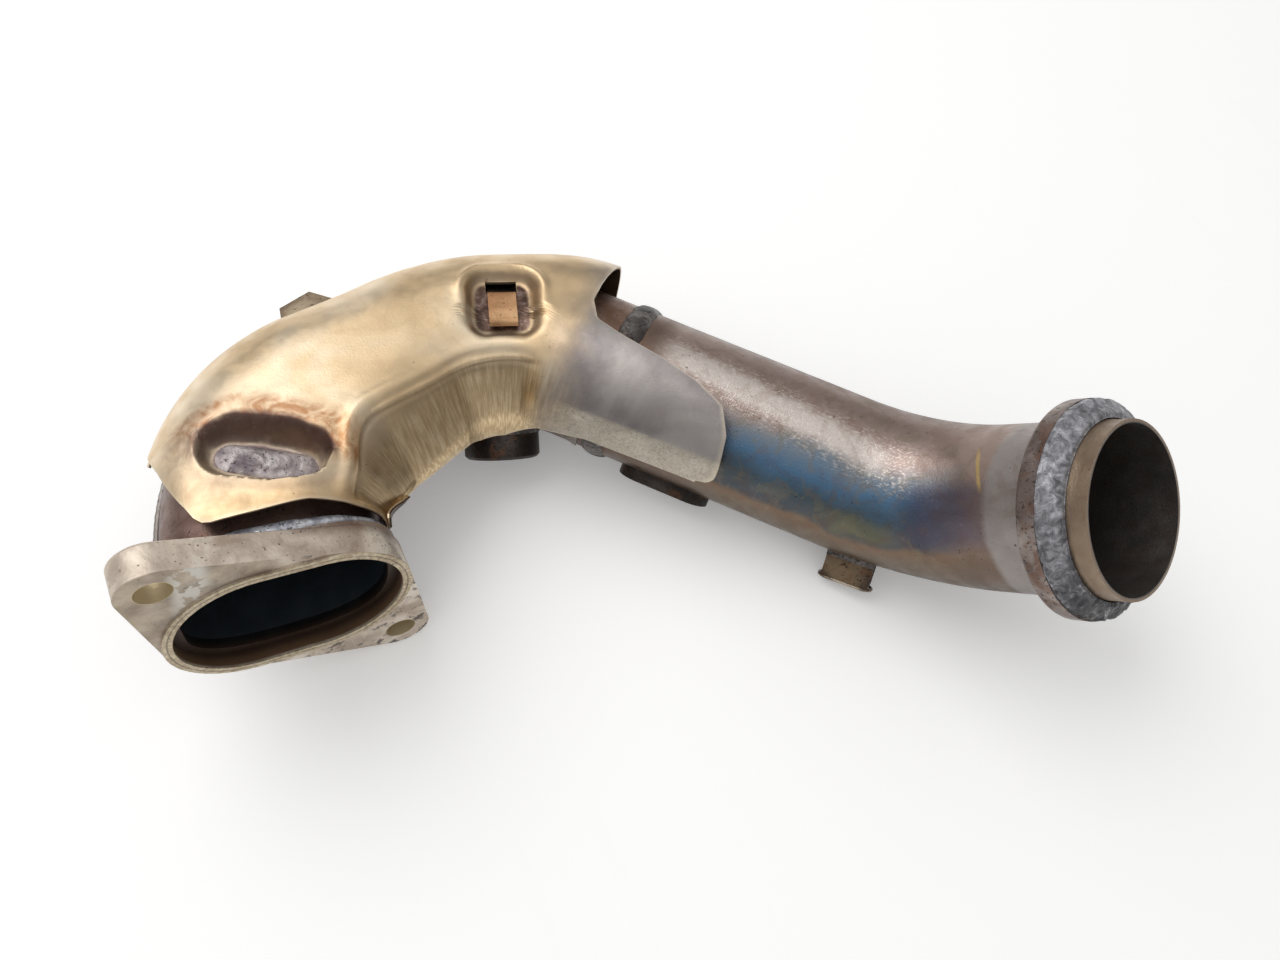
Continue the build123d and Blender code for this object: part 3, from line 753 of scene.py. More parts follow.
        # Dark pocket walls: partly heat tint, partly painted shade in the recess.
        wall = graph.times(graph.band(near, -0.8, 6.5, 1.4), graph.line(far, 0.7, 0.3))
        colour = graph.over(colour, wall, 0.92, tone(78, 56, 54))
        floor = graph.span(near, 0.0, -1.5)
        colour = graph.mix(floor, colour, tone(122, 104, 104))
        close = graph.line(wave, 0.12, rear)
        bed = graph.span(close, 1.0, -1.0)
        mottle = graph.tones(graph.noise(place, 420.0, 5.0), (0.3, 66, 51, 48), (0.55, 108, 85, 73),
                             (0.75, 158, 140, 136))
        colour = graph.mix(bed, colour, mottle)
        # Dark rim round the rear pocket's floor: partly heat tint, partly painted shade.
        rim = graph.band(close, 0.6, 3.2, 0.8)
        return graph.over(colour, rim, 0.6, tone(104, 82, 72))

    @classmethod
    def shield(cls, finish: Steel) -> Material:
        """Pressed sheet: gold crown, streaked skirt, silver tongue and tinted pockets, with painted shade
        on the nose, in the groove and on the pocket walls.

        Args:
            finish: values of the sheet.

        Returns:
            The material.
        """
        graph, shader = cls.start(finish.name)
        press = graph.apart(graph.mark("press"))
        hole = graph.apart(graph.mark("pocket"))
        place = graph.place()
        across, along, edge = (graph.times(part, MARK_UNIT) for part in press)
        front, rear, dent = (graph.times(part, MARK_UNIT) for part in hole)
        cloud = graph.group("Blotches", vector=place, size=26.0).outputs["Share"]
        colour = cls.patchy(graph, finish, cloud)
        # Painted shade: darker tan over the front slope of the nose.
        nose = graph.span(along, 38.0, 24.0)
        colour = graph.over(colour, nose, 0.55, tone(196, 168, 126))
        stretched = graph.plane(graph.times(along, 0.09), graph.times(across, 0.008))
        streaks = graph.span(graph.noise(stretched, 9.0, 5.0, 0.65), 0.38, 0.68)
        skirt = graph.span(across, 82.0, 92.0)
        tan = graph.tones(streaks, (0.0, 204, 177, 137), (0.6, 232, 207, 166), (1.0, 246, 226, 189))
        colour = graph.mix(skirt, colour, tan)
        wave = graph.line(graph.noise(place, 60.0, 4.0), 24.0, -12.0)
        silver = graph.tones(cloud, (0.0, 128, 121, 121), (0.6, 154, 147, 145), (1.0, 180, 173, 169))
        colour = graph.mix(graph.span(graph.math("ADD", along, wave), 158.0, 186.0), colour, silver)
        brushed = graph.tones(graph.noise(place, 700.0, 4.0, 0.6, 1.5), (0.3, 160, 150, 132),
                              (0.6, 206, 197, 178))
        low = graph.span(graph.line(wave, 0.1, across), 95.5, 97.5)
        low = graph.times(low, graph.span(along, 168.0, 184.0))
        colour = graph.over(colour, low, 0.7, brushed)
        colour = cls.pocket_tints(graph, colour, wave, along, front, rear)
        # Painted shade: the groove above the inner skirt is darkened.
        groove = graph.span(dent, 0.15, 0.9)
        colour = graph.over(colour, groove, 0.5, tone(104, 84, 64))
        # Paler tone along the sheet's edges, within about 1.6 mm of them.
        worn = graph.span(graph.line(wave, 0.05, edge), 0.3, 1.6, 1.0, 0.0)
        colour = graph.over(colour, worn, 0.35, tone(236, 222, 198))
        underside = graph.mix(graph.span(along, 160.0, 182.0), tone(74, 58, 46), tone(168, 150, 126))
        colour = graph.mix(graph.lining(), colour, underside)
        colour = cls.worn(graph, finish, colour)
        return cls.close(graph, shader, finish, colour)

    @staticmethod
    def ear_grime(graph: Graph, colour: Socket, front: Socket, level: Socket) -> Socket:
        """Colour with grime and a pale splash on one ear and dark pits on the other.

        Args:
            graph: graph of the material.
            colour: colour of the flange.
            front: 1 on the front face of the ears, 0 elsewhere.
            level: distance along the port's long axis, in metres.

        Returns:
            The colour.
        """
        place = graph.place()
        left = graph.span(level, 0.0, 0.008)
        grime = graph.tones(graph.noise(place, 90.0, 4.0), (0.35, 112, 94, 76), (0.6, 186, 168, 144))
        colour = graph.mix(graph.times(graph.times(front, left), 0.7), colour, grime)
        splash = graph.span(graph.noise(place, 210.0), 0.46, 0.54)
        splash = graph.times(graph.band(level, 0.022, 0.031, 0.002), splash)
        colour = graph.mix(graph.times(front, graph.times(splash, left)), colour, tone(214, 208, 198))
        pits = graph.span(graph.noise(place, 190.0, 3.0), 0.54, 0.62)
        spots = graph.times(front, graph.times(pits, graph.span(level, 0.0, -0.008)))
        return graph.over(colour, spots, 0.85, tone(58, 46, 36))

    @classmethod
    def flange(cls, finish: Steel, pose: Pose, face: FlangeFace) -> Material:
        """Cast flange: bright machined lip, grimy ears, polished holes and a dark port.

        Args:
            finish: values of the cast metal.
            pose: how the bend frame lies in the row frame.
            face: places of port and bolt holes.

        Returns:
            The material.
        """
        graph, shader = cls.start(finish.name)
        place = graph.place()
        turn = Matrix(pose.matrix().tolist()).to_4x4().inverted().to_euler("XYZ")
        local = graph.add("VectorRotate", {"Vector": place, "Rotation": tuple(turn)},
                          rotation_type="EULER_XYZ").outputs[0]
        parts = graph.apart(local)
        depth = graph.times(parts[1], 1000.0)
        cloud = graph.group("Blotches", vector=place, size=finish.patch_size).outputs["Share"]
        colour = cls.patchy(graph, finish, cloud)
        tilt = math.radians(DUCT.port_roll)
        level = graph.line(parts[2], math.sin(tilt), graph.times(parts[0], -math.cos(tilt)))
        raised = graph.line(parts[2], math.cos(tilt), graph.times(parts[0], math.sin(tilt)))
        sideways = graph.math("ABSOLUTE", level)
        end = graph.math("MAXIMUM", graph.math("SUBTRACT", sideways, face.port_straight), 0.0)
        beside = graph.line(graph.length(end, raised), 1000.0, -1000.0 * face.port_round)
        lip = graph.span(depth, -0.25, -0.5)
        bright = graph.tones(graph.noise(place, 800.0, 3.0), (0.3, 170, 152, 124), (0.6, 212, 196, 166),
                             (0.8, 234, 222, 198))
        colour = graph.mix(lip, colour, bright)
        warm = graph.times(graph.span(depth, 5.0, 10.0), graph.span(beside, 9.0, 4.5))
        colour = graph.over(colour, warm, 0.75, tone(112, 86, 72))
        line = graph.times(lip, graph.band(beside, 1.3, 1.7, 0.2))
        colour = graph.over(colour, line, 0.75, tone(84, 66, 48))
        colour = cls.worn(graph, finish, colour)
        front = graph.times(graph.band(depth, -0.3, 0.3, 0.15), graph.span(beside, 2.6, 3.1))
        colour = cls.ear_grime(graph, colour, front, level)
        far = graph.math("SUBTRACT", sideways, face.bolt[0])
        high = graph.math("SUBTRACT", graph.times(raised, graph.math("SIGN", level)), face.bolt[1])
        hole = graph.span(graph.length(far, high), face.bolt_radius + 0.0003, face.bolt_radius)
        colour = graph.mix(hole, colour, tone(206, 190, 156))
        wide, tall = (graph.math("POWER", graph.math("ABSOLUTE", graph.math("DIVIDE", value, half)), 3.0)
                      for value, half in zip((level, raised), face.duct_half))
        port = graph.span(graph.math("ADD", wide, tall), 1.03, 0.97)
        port = graph.times(port, graph.band(depth, 0.0, 8.9, 0.5))
        shade = graph.tones(graph.span(depth, 0.0, 7.0), (0.0, 120, 92, 66), (0.5, 70, 50, 38),
                            (1.0, 20, 20, 20))
        colour = graph.mix(port, colour, shade)
        return cls.close(graph, shader, finish, colour)

    @classmethod
    def gasket(cls, finish: Steel) -> Material:
        """Crumbled graphite with bright wire flakes, painted paler towards the top as painted light.

        Args:
            finish: values of the graphite.

        Returns:
            The material.
        """
        graph, shader = cls.start(finish.name)
        place = graph.place()
        flakes = graph.noise(place, 300.0, 6.0, 0.72, 0.8)
        colour = graph.ramp(flakes, [(0.35, finish.dark), (0.54, finish.middle), (0.66, finish.bright),
                                     (0.76, tone(226, 224, 222))])
        # Painted light: paler tones towards the top of the ring.
        pale = graph.tones(flakes, (0.34, 74, 74, 78), (0.5, 134, 134, 139), (0.66, 214, 214, 220))
        colour = graph.mix(graph.span(graph.apart(place)[2], 0.014, 0.04), colour, pale)
        shine = graph.span(flakes, 0.5, 0.64)
        height = graph.line(graph.noise(place, 1300.0, 4.0), 0.5, flakes)
        made = cls.close(graph, shader, finish, colour, height)
        graph.tree.links.new(shine, shader.inputs["Metallic"])
        return made

    @classmethod
    def floor(cls) -> Material:
        """Pale worn table top."""
        graph, shader = cls.start("pale_floor")
        lines = graph.group("Scratches", vector=graph.place(), stretch=(1.0, 0.04, 1.0), size=140.0)
        colour = graph.over(tone(250, 250, 249), lines.outputs["Mask"], 0.05, tone(225, 225, 224))
        graph.tree.links.new(colour, shader.inputs["Base Color"])
        rays = graph.add("LightPath").outputs
        seen = graph.math("MAXIMUM", rays["Is Camera Ray"], rays["Is Glossy Ray"])
        seen = graph.math("MAXIMUM", seen, rays["Is Transmission Ray"])
        glow = graph.mix(seen, (0.0, 0.0, 0.0), (0.2, 0.2, 0.2))
        graph.tree.links.new(glow, shader.inputs["Emission Color"])
        shader.inputs["Emission Strength"].default_value = 1.0
        shader.inputs["Roughness"].default_value = 0.6
        shader.inputs["Specular IOR Level"].default_value = 0.2
        return graph.material


class Finishes:
    """Values of every finish."""

    TUBE = Steel("tube_heat_tint", tone(104, 82, 68), tone(152, 132, 112), tone(196, 184, 176),
                 metallic=0.72, rough=0.38, speck_amount=-0.1, rust_share=0.16, scratch_share=0.07)
    ELBOW = Steel("elbow_brown", tone(70, 50, 52), tone(108, 82, 74), tone(140, 116, 106),
                  metallic=0.65, rough=0.38, speck_amount=0.2, rust_share=0.4, patch_size=48.0)
    SEAM = Steel("seam_grey", tone(126, 117, 111), tone(160, 152, 146), tone(196, 190, 184),
                 metallic=0.55, rough=0.44, speck_amount=0.1)
    SHIELD = Steel("shield_gold", tone(218, 190, 150), tone(236, 209, 169), tone(248, 228, 198),
                   metallic=0.82, rough=0.39, speck_amount=-0.35, rust_share=0.06, scratch_share=0.05,
                   relief=0.12, scratch=tone(252, 236, 204))
    FLANGE = Steel("flange_cast", tone(182, 165, 148), tone(222, 207, 190), tone(240, 230, 216),
                   metallic=0.4, rough=0.46, speck_amount=0.1, rust_share=0.2, relief=0.35,
                   relief_size=900.0)
    WELD = Steel("weld_blue_grey", tone(126, 128, 138), tone(176, 178, 186), tone(220, 221, 226),
                 metallic=0.45, rough=0.4, patch_size=170.0, speck_amount=0.4, rust_share=0.05,
                 relief=0.5, relief_size=1100.0)
    RING = Steel("ring_weld_grey", tone(58, 54, 52), tone(90, 86, 84), tone(130, 124, 120),
                 metallic=0.6, rough=0.45, patch_size=150.0, speck_amount=0.6, relief=0.6,
                 relief_size=1100.0)
    PLUG = Steel("plug_swirl", tone(110, 100, 106), tone(152, 142, 142), tone(190, 182, 180),
                 metallic=0.6, rough=0.46, patch_size=190.0, speck_amount=0.3, relief=0.4)
    STRIP = Steel("strip_copper", tone(178, 132, 94), tone(222, 176, 130), tone(248, 222, 180),
                  metallic=0.8, rough=0.34, speck_amount=0.0, rust_share=0.1)
    COLLAR = Steel("collar_brown", tone(92, 78, 72), tone(132, 118, 112), tone(176, 164, 158),
                   metallic=0.7, rough=0.42, rust_share=0.45)
    GASKET = Steel("gasket_flakes", tone(34, 34, 37), tone(62, 61, 63), tone(150, 149, 152),
                   metallic=0.5, rough=0.42, relief=0.6)
    BOSS = Steel("boss_dark", tone(32, 27, 25), tone(54, 47, 43), tone(90, 81, 75),
                 metallic=0.6, rough=0.46, rust_share=0.4)
    BRACKET = Steel("bracket_brown", tone(54, 44, 36), tone(82, 68, 56), tone(132, 112, 88),
                    metallic=0.6, rough=0.44, rust_share=0.4)
    SPRING = Steel("spring_wire", tone(96, 84, 72), tone(140, 126, 110), tone(190, 178, 160),
                   metallic=0.85, rough=0.32)
    LUG = Steel("lug_tan", tone(92, 80, 66), tone(130, 114, 94), tone(172, 156, 132),
                metallic=0.7, rough=0.42, speck_amount=0.1)


class Shape:
    """Builds meshes from grids of points in the bend frame."""

    @staticmethod
    def grid(name: str, points: Array, rows_close: bool, columns_close: bool,
             marks: dict[str, Array] | None = None) -> MeshObject:
        """Quad mesh over a grid.

        Args:
            name: object name.
            points: rows by columns by three, in millimetres of the bend frame.
            rows_close: whether the last row joins the first.
            columns_close: whether the last column joins the first.
            marks: vertex attributes, rows by columns, with or without a last axis of three.

        Returns:
            The object, linked to the scene.
        """
        rows, columns = points.shape[:2]
        index = np.arange(rows * columns).reshape(rows, columns)
        below = np.roll(index, -1, 0)
        right = np.roll(index, -1, 1)
        corner = np.roll(below, -1, 1)
        faces = np.stack([index, right, corner, below], -1)
        faces = faces[:rows if rows_close else rows - 1, :columns if columns_close else columns - 1]
        mesh = bpy.data.meshes.new(name)
        mesh.from_pydata(POSE.to_row(points.reshape(-1, 3)).tolist(), [], faces.reshape(-1, 4).tolist())
        for label, values in (marks or {}).items():
            wide = values.ndim == 3
            mark = mesh.attributes.new(label, "FLOAT_VECTOR" if wide else "FLOAT", "POINT")
            mark.data.foreach_set("vector" if wide else "value", values.astype(np.float32).ravel())
        made = bpy.data.objects.new(name, mesh)
        bpy.context.scene.collection.objects.link(made)
        return made

    @staticmethod
    def finish(made: MeshObject, sharp: float = 38.0) -> None:
        """Outward normals and smooth shading with sharp edges past an angle."""
        work = bmesh.new()
        work.from_mesh(made.data)
        bmesh.ops.recalc_face_normals(work, faces=work.faces)
        work.to_mesh(made.data)
        work.free()
        made.data.shade_smooth()
        made.data.set_sharp_from_angle(angle=math.radians(sharp))

    @staticmethod
    def apply(made: MeshObject) -> None:
        """Turn the modifiers into plain mesh."""
        depsgraph = bpy.context.evaluated_depsgraph_get()
        mesh = bpy.data.meshes.new_from_object(made.evaluated_get(depsgraph))
        made.modifiers.clear()
        made.data = mesh

    @classmethod
    def cut(cls, made: MeshObject, tool: MeshObject) -> None:
        """Cut a closed tool out of a closed mesh and remove the tool."""
        step = made.modifiers.new("cut", "BOOLEAN")
        step.operation = "DIFFERENCE"
        step.solver = "EXACT"
        step.object = tool
        cls.apply(made)
        bpy.data.objects.remove(tool)

    @staticmethod
    def cap(made: MeshObject) -> None:
        """Close open ends with faces."""
        work = bmesh.new()
        work.from_mesh(made.data)
        bmesh.ops.holes_fill(work, edges=[edge for edge in work.edges if edge.is_boundary], sides=0)
        work.to_mesh(made.data)
        work.free()


@dataclass
class Piece:
    """One new visual piece and what it stands for."""

    name: str
    nodes: tuple[str, ...]
    slot: Slot

    def dress(self, made: MeshObject, material: Material) -> None:
        """Give the piece its material and body, and hide the CAD nodes that it stands for."""
        made.data.materials.clear()
        made.data.materials.append(material)
        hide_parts(*self.nodes)
        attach(made, BODY)
        LOG.info("%s: %d faces", self.name, len(made.data.polygons))


@dataclass
class DuctShell(Piece):
    """Thin-walled stretch of the duct, outside and inside."""

    start: float = 0.0
    end: float = 0.0
    wall: float = 1.5
    columns: int = 128
    pitch: float = 1.6
    step_at: float = 1000.0
    step: float = 0.3
    # Distance of a hole along the path, drop of its axis below level in degrees, and its radius.
    hole: tuple[float, float, float] | None = None

    def build(self) -> MeshObject:
        """Closed mesh of the wall, with its place on the gas path kept at each vertex."""
        count = int((self.end - self.start) / self.pitch)
        out = np.linspace(self.start, self.end, count)
        grow = np.where(out > self.step_at, -self.step, 0.0)
        stops = np.concatenate([out, [self.end], out[::-1]])
        inner = np.full(count, -self.wall)
        grows = np.concatenate([grow, [grow[-1] - 0.5], inner])
        lining = np.concatenate([np.zeros(count + 1), np.ones(count)])
        turn = np.linspace(0, 2 * math.pi, self.columns, endpoint=False)
        s, angle = np.meshgrid(stops, turn, indexing="ij")
        x, y = DUCT.section(s, angle, np.broadcast_to(grows[:, None], s.shape))
        radius = np.hypot(x, y)
        flow = np.stack([-x / radius, y / radius, s / MARK_UNIT], -1)
        inside = np.broadcast_to(lining[:, None], s.shape)
        made = Shape.grid(self.name, PATH.spot(s, x, y), True, True, {"flow": flow, "inside": inside})
        Shape.finish(made)
        if self.hole:
            self.drill(made)
        return made

    def drill(self, made: MeshObject) -> None:
        """Cut the round hole through the inner side of the bend."""
        at, drop, radius = self.hole
        point, side, up, head = PATH.frames(np.array(at))
        axis = -side * math.cos(math.radians(drop)) - up * math.sin(math.radians(drop))
        other = np.cross(axis, head)
        turn = np.linspace(0, 2 * math.pi, 48, endpoint=False)
        ring = radius * (np.cos(turn)[:, None] * head + np.sin(turn)[:, None] * other)
        ends = np.stack([point + axis * reach + ring for reach in (12.0, 36.0)])
        rod = Shape.grid("drill_rod", ends, False, True)
        Shape.cap(rod)
        Shape.finish(rod)
        Shape.cut(made, rod)
        Shape.finish(made)


@dataclass
class RingBead(Piece):
    """Weld bead with ripples round the duct."""

    at: float = 0.0
    half_width: float = 2.4
    rise: float = 2.6
    ripples: int = 60
    depth: float = 0.3
    foot: float = 0.4
    columns: int = 480

    def build(self) -> MeshObject:
        """Closed ring whose section swells with every ripple."""
        turn = np.linspace(0, 2 * math.pi, self.columns, endpoint=False)
        around = np.linspace(0, 2 * math.pi, 20, endpoint=False)
        across, angle = np.meshgrid(around, turn, indexing="ij")
        rough = np.array([noise.noise(Vector((math.cos(t) * 6, math.sin(t) * 6, self.at))) for t in turn])
        lean = 0.55 * np.cos(across)
        beat = (self.ripples * angle / (2 * math.pi) + lean + 0.35 * rough[None, :]) % 1.0
        swell = 1 - self.depth * beat ** 2 + 0.16 * rough[None, :]
        s = self.at + self.half_width * np.cos(across) * (1 + 0.18 * rough[None, :])
        high = np.sin(across)
        lift = np.where(high > 0, self.rise * high * swell, self.foot * high)
        x, y = DUCT.section(s, angle, lift)
        made = Shape.grid(self.name, PATH.spot(s, x, y), True, True)
        Shape.finish(made, 60.0)
        return made


@dataclass
class SeamBand(Piece):
    """Flat seam band along the outside of the elbow."""

    start: float = 18.0
    end: float = 184.2
    half_width: float = 3.0
    rise: float = 1.4
    foot: float = 0.6

    def build(self) -> MeshObject:
        """Band with rounded edges and tapered ends."""
        stops = np.linspace(self.start, self.end, 180)
        around = np.linspace(0, 2 * math.pi, 24, endpoint=False)
        s, turn = np.meshgrid(stops, around, indexing="ij")
        taper = np.clip(np.minimum(s - self.start, self.end - s) / 3 + 0.1, 0.1, 1.0) ** 0.5
        shaky = np.array([noise.noise(Vector((stop * 0.21, 0.0, 3.0))) for stop in stops])[:, None]
        fine = np.array([noise.noise(Vector((stop * 0.9, 5.0, 3.0))) for stop in stops])[:, None]
        wide = self.half_width * taper * np.sign(np.cos(turn)) * np.abs(np.cos(turn)) ** 0.55
        tall = np.sign(np.sin(turn)) * np.abs(np.sin(turn)) ** 0.6
        crest = self.rise * tall * (1 + 0.12 * shaky + 0.1 * fine) * taper
        lift = np.where(tall > 0, crest, self.foot * tall)
        reach, high = DUCT.section(s, np.zeros_like(s), np.zeros_like(s))
        points = PATH.spot(s, reach + lift, high + wide + 0.3 * shaky)
        made = Shape.grid(self.name, points, False, True)
        Shape.cap(made)
        Shape.finish(made, 50.0)
        return made


@dataclass
class RingGasket(Piece):
    """Crumbled graphite ring on the spigot."""

    bore: float = 27.1
    rim: float = 33.4
    tip: float = 28.75
    band: float = 2.4
    length: float = 5.9
    spigot: float = 5.9
    columns: int = 420

    def build(self) -> MeshObject:
        """Ring with a rough outside, more broken on its lower side."""
        outline = [(self.bore, 0.0), (self.rim, 0.0), (self.rim, self.band), (self.tip, self.length),
                   (self.bore, self.length)]
        radii, stops, worn = [], [], []
        for (r0, z0), (r1, z1) in zip(outline, outline[1:]):
            for share in np.linspace(0, 1, 9)[:-1]:
                radii.append(r0 + (r1 - r0) * share)
                stops.append(z0 + (z1 - z0) * share)
                worn.append(0.0 if z0 == 0.0 and r0 < r1 and share < 0.9 else 1.0)
        turn = np.linspace(0, 2 * math.pi, self.columns, endpoint=False)
        radius, angle = np.meshgrid(np.array(radii), turn, indexing="ij")
        back = PATH.end() - self.spigot - self.length
        s = np.broadcast_to((back + np.array(stops))[:, None], radius.shape).copy()
        rough = np.zeros_like(radius)
        for row in range(radius.shape[0]):
            for column in range(self.columns):
                spot = Vector((math.cos(turn[column]) * 9, math.sin(turn[column]) * 9, stops[row] * 0.35))
                rough[row, column] = noise.fractal(spot, 0.8, 2.1, 4)
        broken = 0.2 + 0.7 * np.clip(np.cos(angle + 2.4), 0, 1)
        mask = np.array(worn)[:, None] * (radius > self.bore + 0.4)
        radius = np.maximum(radius - mask * broken * np.clip(0.4 + 1.1 * rough, 0, 2.2), self.bore + 0.05)
        s -= mask * 0.5 * np.abs(rough) * (s > back + 0.5)
        points = PATH.spot(s, radius * np.cos(angle), radius * np.sin(angle))
        made = Shape.grid(self.name, points, True, True)
        Shape.finish(made, 50.0)
        return made


@dataclass
class PlugWeld(Piece):
    """Swirled plug weld in the floor of the front pocket."""

    at: float = FRONT_POCKET
    seat: float = 0.8
    sheet: float = 1.0
    length: float = 30.0
    width: float = 10.2
    rise: float = 0.8
    shift: float = 1.45

    def build(self) -> MeshObject:
        """Obround dome with ripples round two centres."""
        shares = np.concatenate([[0.02], np.linspace(0.06, 1.0, 34), [1.0]])
        turn = np.linspace(0, 2 * math.pi, 150, endpoint=False)
        share, angle = np.meshgrid(shares, turn, indexing="ij")
        straight = (self.length - self.width) / 2
        x = share * (self.width / 2 * np.cos(angle) + straight * np.tanh(4 * np.cos(angle)))
        y = share * self.width / 2 * np.sin(angle)
        swirl = np.hypot((x - straight * 0.45) * 0.8, y)
        ripple = 0.05 * np.sin(swirl * 3.4 + 0.6 * np.sin(angle * 2))
        ripple = ripple + 0.03 * np.sin(swirl * 8.1 + x * 0.9)
        top = self.rise * (1 - 0.95 * share ** 5) + ripple * (1 - share ** 4)
        top[-1, :] = -self.sheet - self.seat
        _, height = DUCT.half(np.array(self.at))
        base = float(height) + self.seat + self.sheet
        point, side, up, head = PATH.frames(np.array(self.at))
        out = turned(side, head, DUCT.roll(self.at))
        high = turned(up, head, DUCT.roll(self.at))
        spots = point + out * (x + self.shift)[..., None] + head * y[..., None]
        made = Shape.grid(self.name, spots + high * (base + top)[..., None], False, True)
        Shape.cap(made)
        Shape.finish(made, 60.0)
        return made


@dataclass
class BentStrip(Piece):
    """Copper-coloured strip that comes up through the slot and lies on the rear pocket's floor."""

    at: float = REAR_POCKET
    top: float = -0.5
    tail: float = -15.2
    half_width: float = 4.7
    thick: float = 0.9
    bed: float = 28.95
    foot: float = 27.05

    def build(self) -> MeshObject:
        """Bent bar with a round bend and a tail that turns up a little."""
        bend = [(self.top, self.foot), (self.top, self.bed - 0.3)]
        bend += [(self.top - 0.9 + 0.9 * math.cos(t), self.bed - 0.3 + 0.6 * math.sin(t)) for t in
                 np.linspace(0.3, math.pi / 2, 5)]
        flat = np.linspace(self.top - 2.0, self.tail + 1.5, 14)
        bend += [(x, self.bed + 0.3) for x in flat]
        bend += [(self.tail + 0.7, self.bed + 0.42), (self.tail, self.bed + 0.8)]
        line = np.array(bend)
        slope = np.gradient(line, axis=0)
        slope = slope / np.linalg.norm(slope, axis=1, keepdims=True)
        over = line + np.stack([slope[:, 1], -slope[:, 0]], 1) * self.thick
        wide = np.array([-1.0, -0.94, 0.94, 1.0]) * self.half_width
        ring = [(line, wide[0]), (line, wide[3])] + [(over, shift) for shift in wide[::-1]]
        point, side, up, head = PATH.frames(np.array(self.at))
        loops = [point + side * path[:, :1] + up * path[:, 1:] + head * shift for path, shift in ring]
        made = Shape.grid(self.name, np.stack(loops, 1), False, True)
        Shape.cap(made)
        Shape.finish(made, 40.0)
        return made


